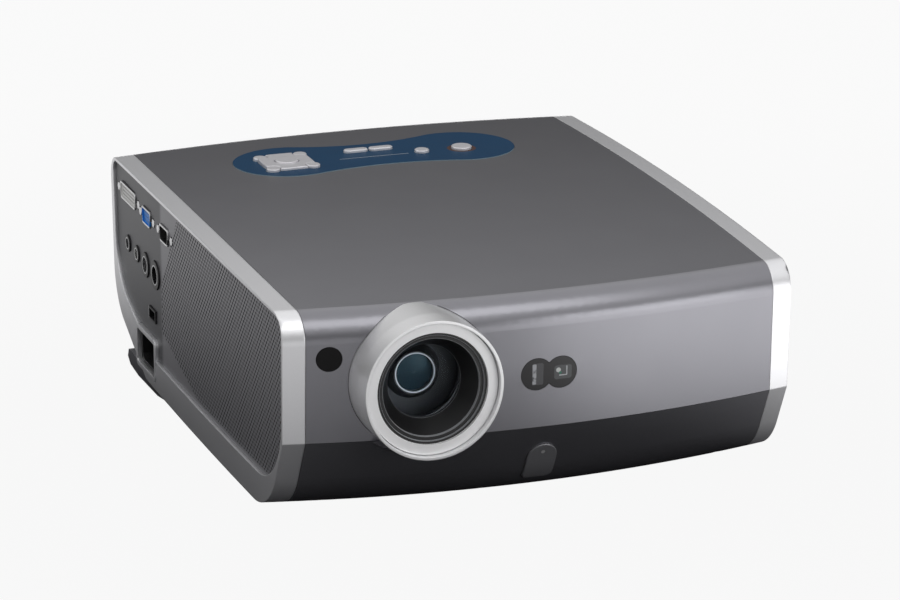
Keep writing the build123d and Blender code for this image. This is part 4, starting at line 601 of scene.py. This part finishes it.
# Zoom group. Turned and blackened carrier of the moving element, which slides along the lens axis; the
# rim of its nose is left bright.
NOSE_EDGE_R = 9.55 * MM
NOSE_EDGE_HALF_W = 0.3 * MM
NOSE_BACK_Y = -144 * MM

zoom_finish = Finish("zoom_finish", Roughness=0.4)
x, y, z = zoom_finish.place().split()
nose_edge = distance(x, z, (LENS_X, LENS_Z)).near(NOSE_EDGE_R, NOSE_EDGE_HALF_W) * (y < NOSE_BACK_Y)
zoom_finish.set(
    Base_Color=zoom_finish.blend(nose_edge, (0.012, 0.012, 0.014), (0.62, 0.64, 0.66)),
    Metallic=nose_edge * 0.6,
)
paint("zoom_group", zoom_finish)


# Lens drive. The fixed barrel is turned and blackened, and screwed to the optics frame. The focus and
# zoom rings turn on it, driven by the pinions of the two plated motors; rings and pinions are acetal.
black_plastic = grained(
    "black_plastic", 0.8 * MM, (0.012, 0.012, 0.013), (0.018, 0.018, 0.019), (0.42, 0.12), 0.01 * MM,
    Specular_IOR_Level=0.4,
)
paint("lens_barrel focus_ring zoom_ring focus_pinion zoom_pinion", black_plastic)
plated = grained(
    "plated", 0.6 * MM, (0.55, 0.55, 0.56), (0.66, 0.66, 0.67), (0.28, 0.10), 0.005 * MM, 0.3 * MM, Metallic=1.0,
)
paint("lens_motors", plated)


# Fans and lamp box. Black mouldings, screwed to the floor of the lower casing; each rotor is pressed on
# the shaft of its motor.
paint("intake_fan_frame intake_fan_rotor exhaust_fan_frame exhaust_fan_rotor lamp_housing", black_plastic)


# Front leg, levelling stud and screws. The leg is a black moulding that slides down out of the casing.
# The stud screws up and down in the floor, and the screws hold the shells together; both are plated.
paint("front_leg", black_plastic)
paint("rear_screw_foot case_screws", plated)


# Feet. The pad of the front leg, the fixed rear foot and the wheel of the levelling foot. They are
# moulded in matt rubber with a fine sparked surface, and pushed into or onto their seats.
rubber = grained(
    "rubber", 0.6 * MM, (0.018, 0.018, 0.018), (0.034, 0.034, 0.034), (0.75, 0.15), 0.03 * MM, detail=4.0,
    Specular_IOR_Level=0.3,
)
paint("front_leg_pad rear_foot rear_foot_wheel", rubber)


# Air filter. A pad of open foam, cut to size and laid in behind its cover in the floor, so that the air
# is drawn through it.
foam = grained(
    "foam", 1.2 * MM, (0.04, 0.04, 0.04), (0.10, 0.10, 0.10), (0.9, 0.05), 0.15 * MM, detail=6.0,
    Specular_IOR_Level=0.2,
)
paint("air_filter", foam)


# Video sockets. Plated shells soldered to the terminal board, each round a moulded insert: white with
# three rows of contacts, sky blue with three rows, and black with two rows of pins.
SHELL_WALL = 0.95  # in mm, as are the places and sizes below, which are Y, Z
MOUTH_CORNER = 1.4
MOUTH_BACK_X = -124.0 * MM
CONTACT_SHARE = 0.26


def socket_finish(name, middle, size, insert, contact, rows, columns, pitch):
    """Metal outside the mouth of a socket and an insert inside it, with rows of round contacts at a pitch."""
    finish = Finish(name)
    x, y, z = finish.place().split()
    half_size = (size[0] / 2 - SHELL_WALL, size[1] / 2 - SHELL_WALL)
    mouth = in_box(y, z, middle, half_size, MOUTH_CORNER) * (x < MOUTH_BACK_X)
    column = (y - middle[0] * MM) / (pitch * MM) + columns / 2
    row = (z - middle[1] * MM) / (pitch * MM) + rows / 2
    in_grid = (column > 0.0) * (column < float(columns)) * (row > 0.0) * (row < float(rows))
    spot = (distance(column.fract(), row.fract(), (0.5, 0.5)) < CONTACT_SHARE) * in_grid * mouth
    grain = finish.noise(0.5 * MM)
    filled = finish.blend(mouth, finish.blend(grain, (0.70, 0.70, 0.71), (0.82, 0.82, 0.83)), insert)
    finish.set(
        Base_Color=finish.blend(spot, filled, contact),
        Metallic=0.95 - mouth * 0.95,
        Roughness=0.20 + grain * 0.06 + mouth * 0.2,
        Normal=finish.relief(grain, 0.003 * MM, 0.35 * MM),
    )
    return finish


paint("dvi_socket", socket_finish(
    "dvi_shell", (134, 100), (31, 9.4), (0.80, 0.80, 0.79), (0.10, 0.09, 0.08), rows=3, columns=12, pitch=2.0,
))
paint("vga_socket", socket_finish(
    "vga_shell", (95.5, 98.5), (17, 9.4), (0.02, 0.26, 0.80), (0.02, 0.05, 0.16), rows=3, columns=5, pitch=2.2,
))
paint("serial_socket", socket_finish(
    "serial_shell", (60, 98.5), (17, 9.4), (0.02, 0.02, 0.022), (0.75, 0.70, 0.55), rows=2, columns=5, pitch=2.6,
))


# Round jacks and the service socket. One black moulding, soldered to the terminal board. Each jack has a
# bright contact ring inside its mouth, the second a white core, and the service socket one contact.
JACKS = ((137.0, 72.0, 4.6), (118.0, 71.5, 4.6), (100.0, 70.5, 6.8), (80.0, 70.5, 7.8))  # Y, Z, radius in mm
RING_SHARE = 0.66
RING_HALF_W = 0.30 * MM
WHITE_CORE_R = 3.1 * MM
SERVICE_CONTACT_Y = 92.4 * MM
SERVICE_CONTACT_HALF_W = 0.35 * MM
SERVICE_TOP_Z = 50 * MM

jack_finish = Finish("jack_finish")
x, y, z = jack_finish.place().split()
from_jacks = [distance(y, z, (jack_y * MM, jack_z * MM)) for jack_y, jack_z, _ in JACKS]
bright = y.near(SERVICE_CONTACT_Y, SERVICE_CONTACT_HALF_W) * (z < SERVICE_TOP_Z)
for from_jack, (_, _, jack_r) in zip(from_jacks, JACKS):
    bright = bright.most(from_jack.near(jack_r * RING_SHARE * MM, RING_HALF_W))
jack_tone = jack_finish.blend(bright, (0.014, 0.014, 0.016), (0.60, 0.60, 0.61))
jack_finish.set(
    Base_Color=jack_finish.blend(from_jacks[1] < WHITE_CORE_R, jack_tone, (0.80, 0.80, 0.80)),
    Metallic=bright * 0.9,
    Roughness=0.36 - bright * 0.12,
)
paint("jack_block", jack_finish)


# Mains inlet. Black moulding that snaps into its silver frame, with three plated blades moulded in,
# which stand in its cavity.
INLET = (97.0, 22.0)  # Y and Z in mm, and the blades' places from there
BLADES = ((-7.0, -1.0), (0.0, 3.0), (7.0, -1.0))
BLADE_HALF = (1.05, 2.05)
BLADE_CORNER = 0.2
BLADE_X = (-132.0 * MM, -116.2 * MM)

inlet_finish = Finish("inlet_finish")
x, y, z = inlet_finish.place().split()
blades = [in_box(y, z, (INLET[0] + by, INLET[1] + bz), BLADE_HALF, BLADE_CORNER) for by, bz in BLADES]
blade = blades[0].most(blades[1]).most(blades[2]) * (x < BLADE_X[1]) * (x > BLADE_X[0])
inlet_finish.set(
    Base_Color=inlet_finish.blend(blade, (0.010, 0.010, 0.011), (0.80, 0.78, 0.72)),
    Metallic=blade * 0.9,
    Roughness=0.42 - blade * 0.2,
)
paint("ac_inlet", inlet_finish)


# Circuit boards. Glass-fibre laminate under green solder mask, with patches of parallel copper tracks,
# screwed to the casing. What stands on the boards and the three display panels share the finish.
TRACK_PITCH = 1.3 * MM
TRACK_SHARE = 0.4
PATCH_SIZE = 14 * MM
PATCH_FROM = 0.5  # noise above which there are tracks

board = Finish("board", Coat_Weight=0.3, Coat_Roughness=0.2)
x, y, z = board.place().split()
track = (((x + y + z) / TRACK_PITCH).fract() < TRACK_SHARE) * (board.noise(PATCH_SIZE, 0.0) > PATCH_FROM)
board.set(
    Base_Color=board.blend(track, (0.010, 0.090, 0.035), (0.025, 0.17, 0.07)),
    Roughness=0.42 + track * 0.08,
)
paint("main_board terminal_board key_board display_panels", board)


# Power supply and optics frame. A folded tray of zinc-plated sheet and an aluminium die casting, both
# screwed to the floor of the lower casing. They share a dull, uneven metal.
cast = grained(
    "cast", 2.0 * MM, (0.36, 0.36, 0.37), (0.50, 0.50, 0.51), (0.42, 0.15), 0.03 * MM, detail=4.0, Metallic=0.9,
)
paint("power_supply optics_frame", cast)


# Lamp reflector. Pressed glass bowl with a pale mirror coating, cemented round the burner and held in
# the lamp box.
reflector = Finish("reflector", Coat_Weight=0.5, Coat_Roughness=0.1)
glaze = reflector.noise(6 * MM)
reflector.set(
    Base_Color=reflector.blend(glaze, (0.72, 0.70, 0.65), (0.80, 0.78, 0.74)),
    Roughness=0.3 + glaze * 0.05,
)
paint("lamp_reflector", reflector)
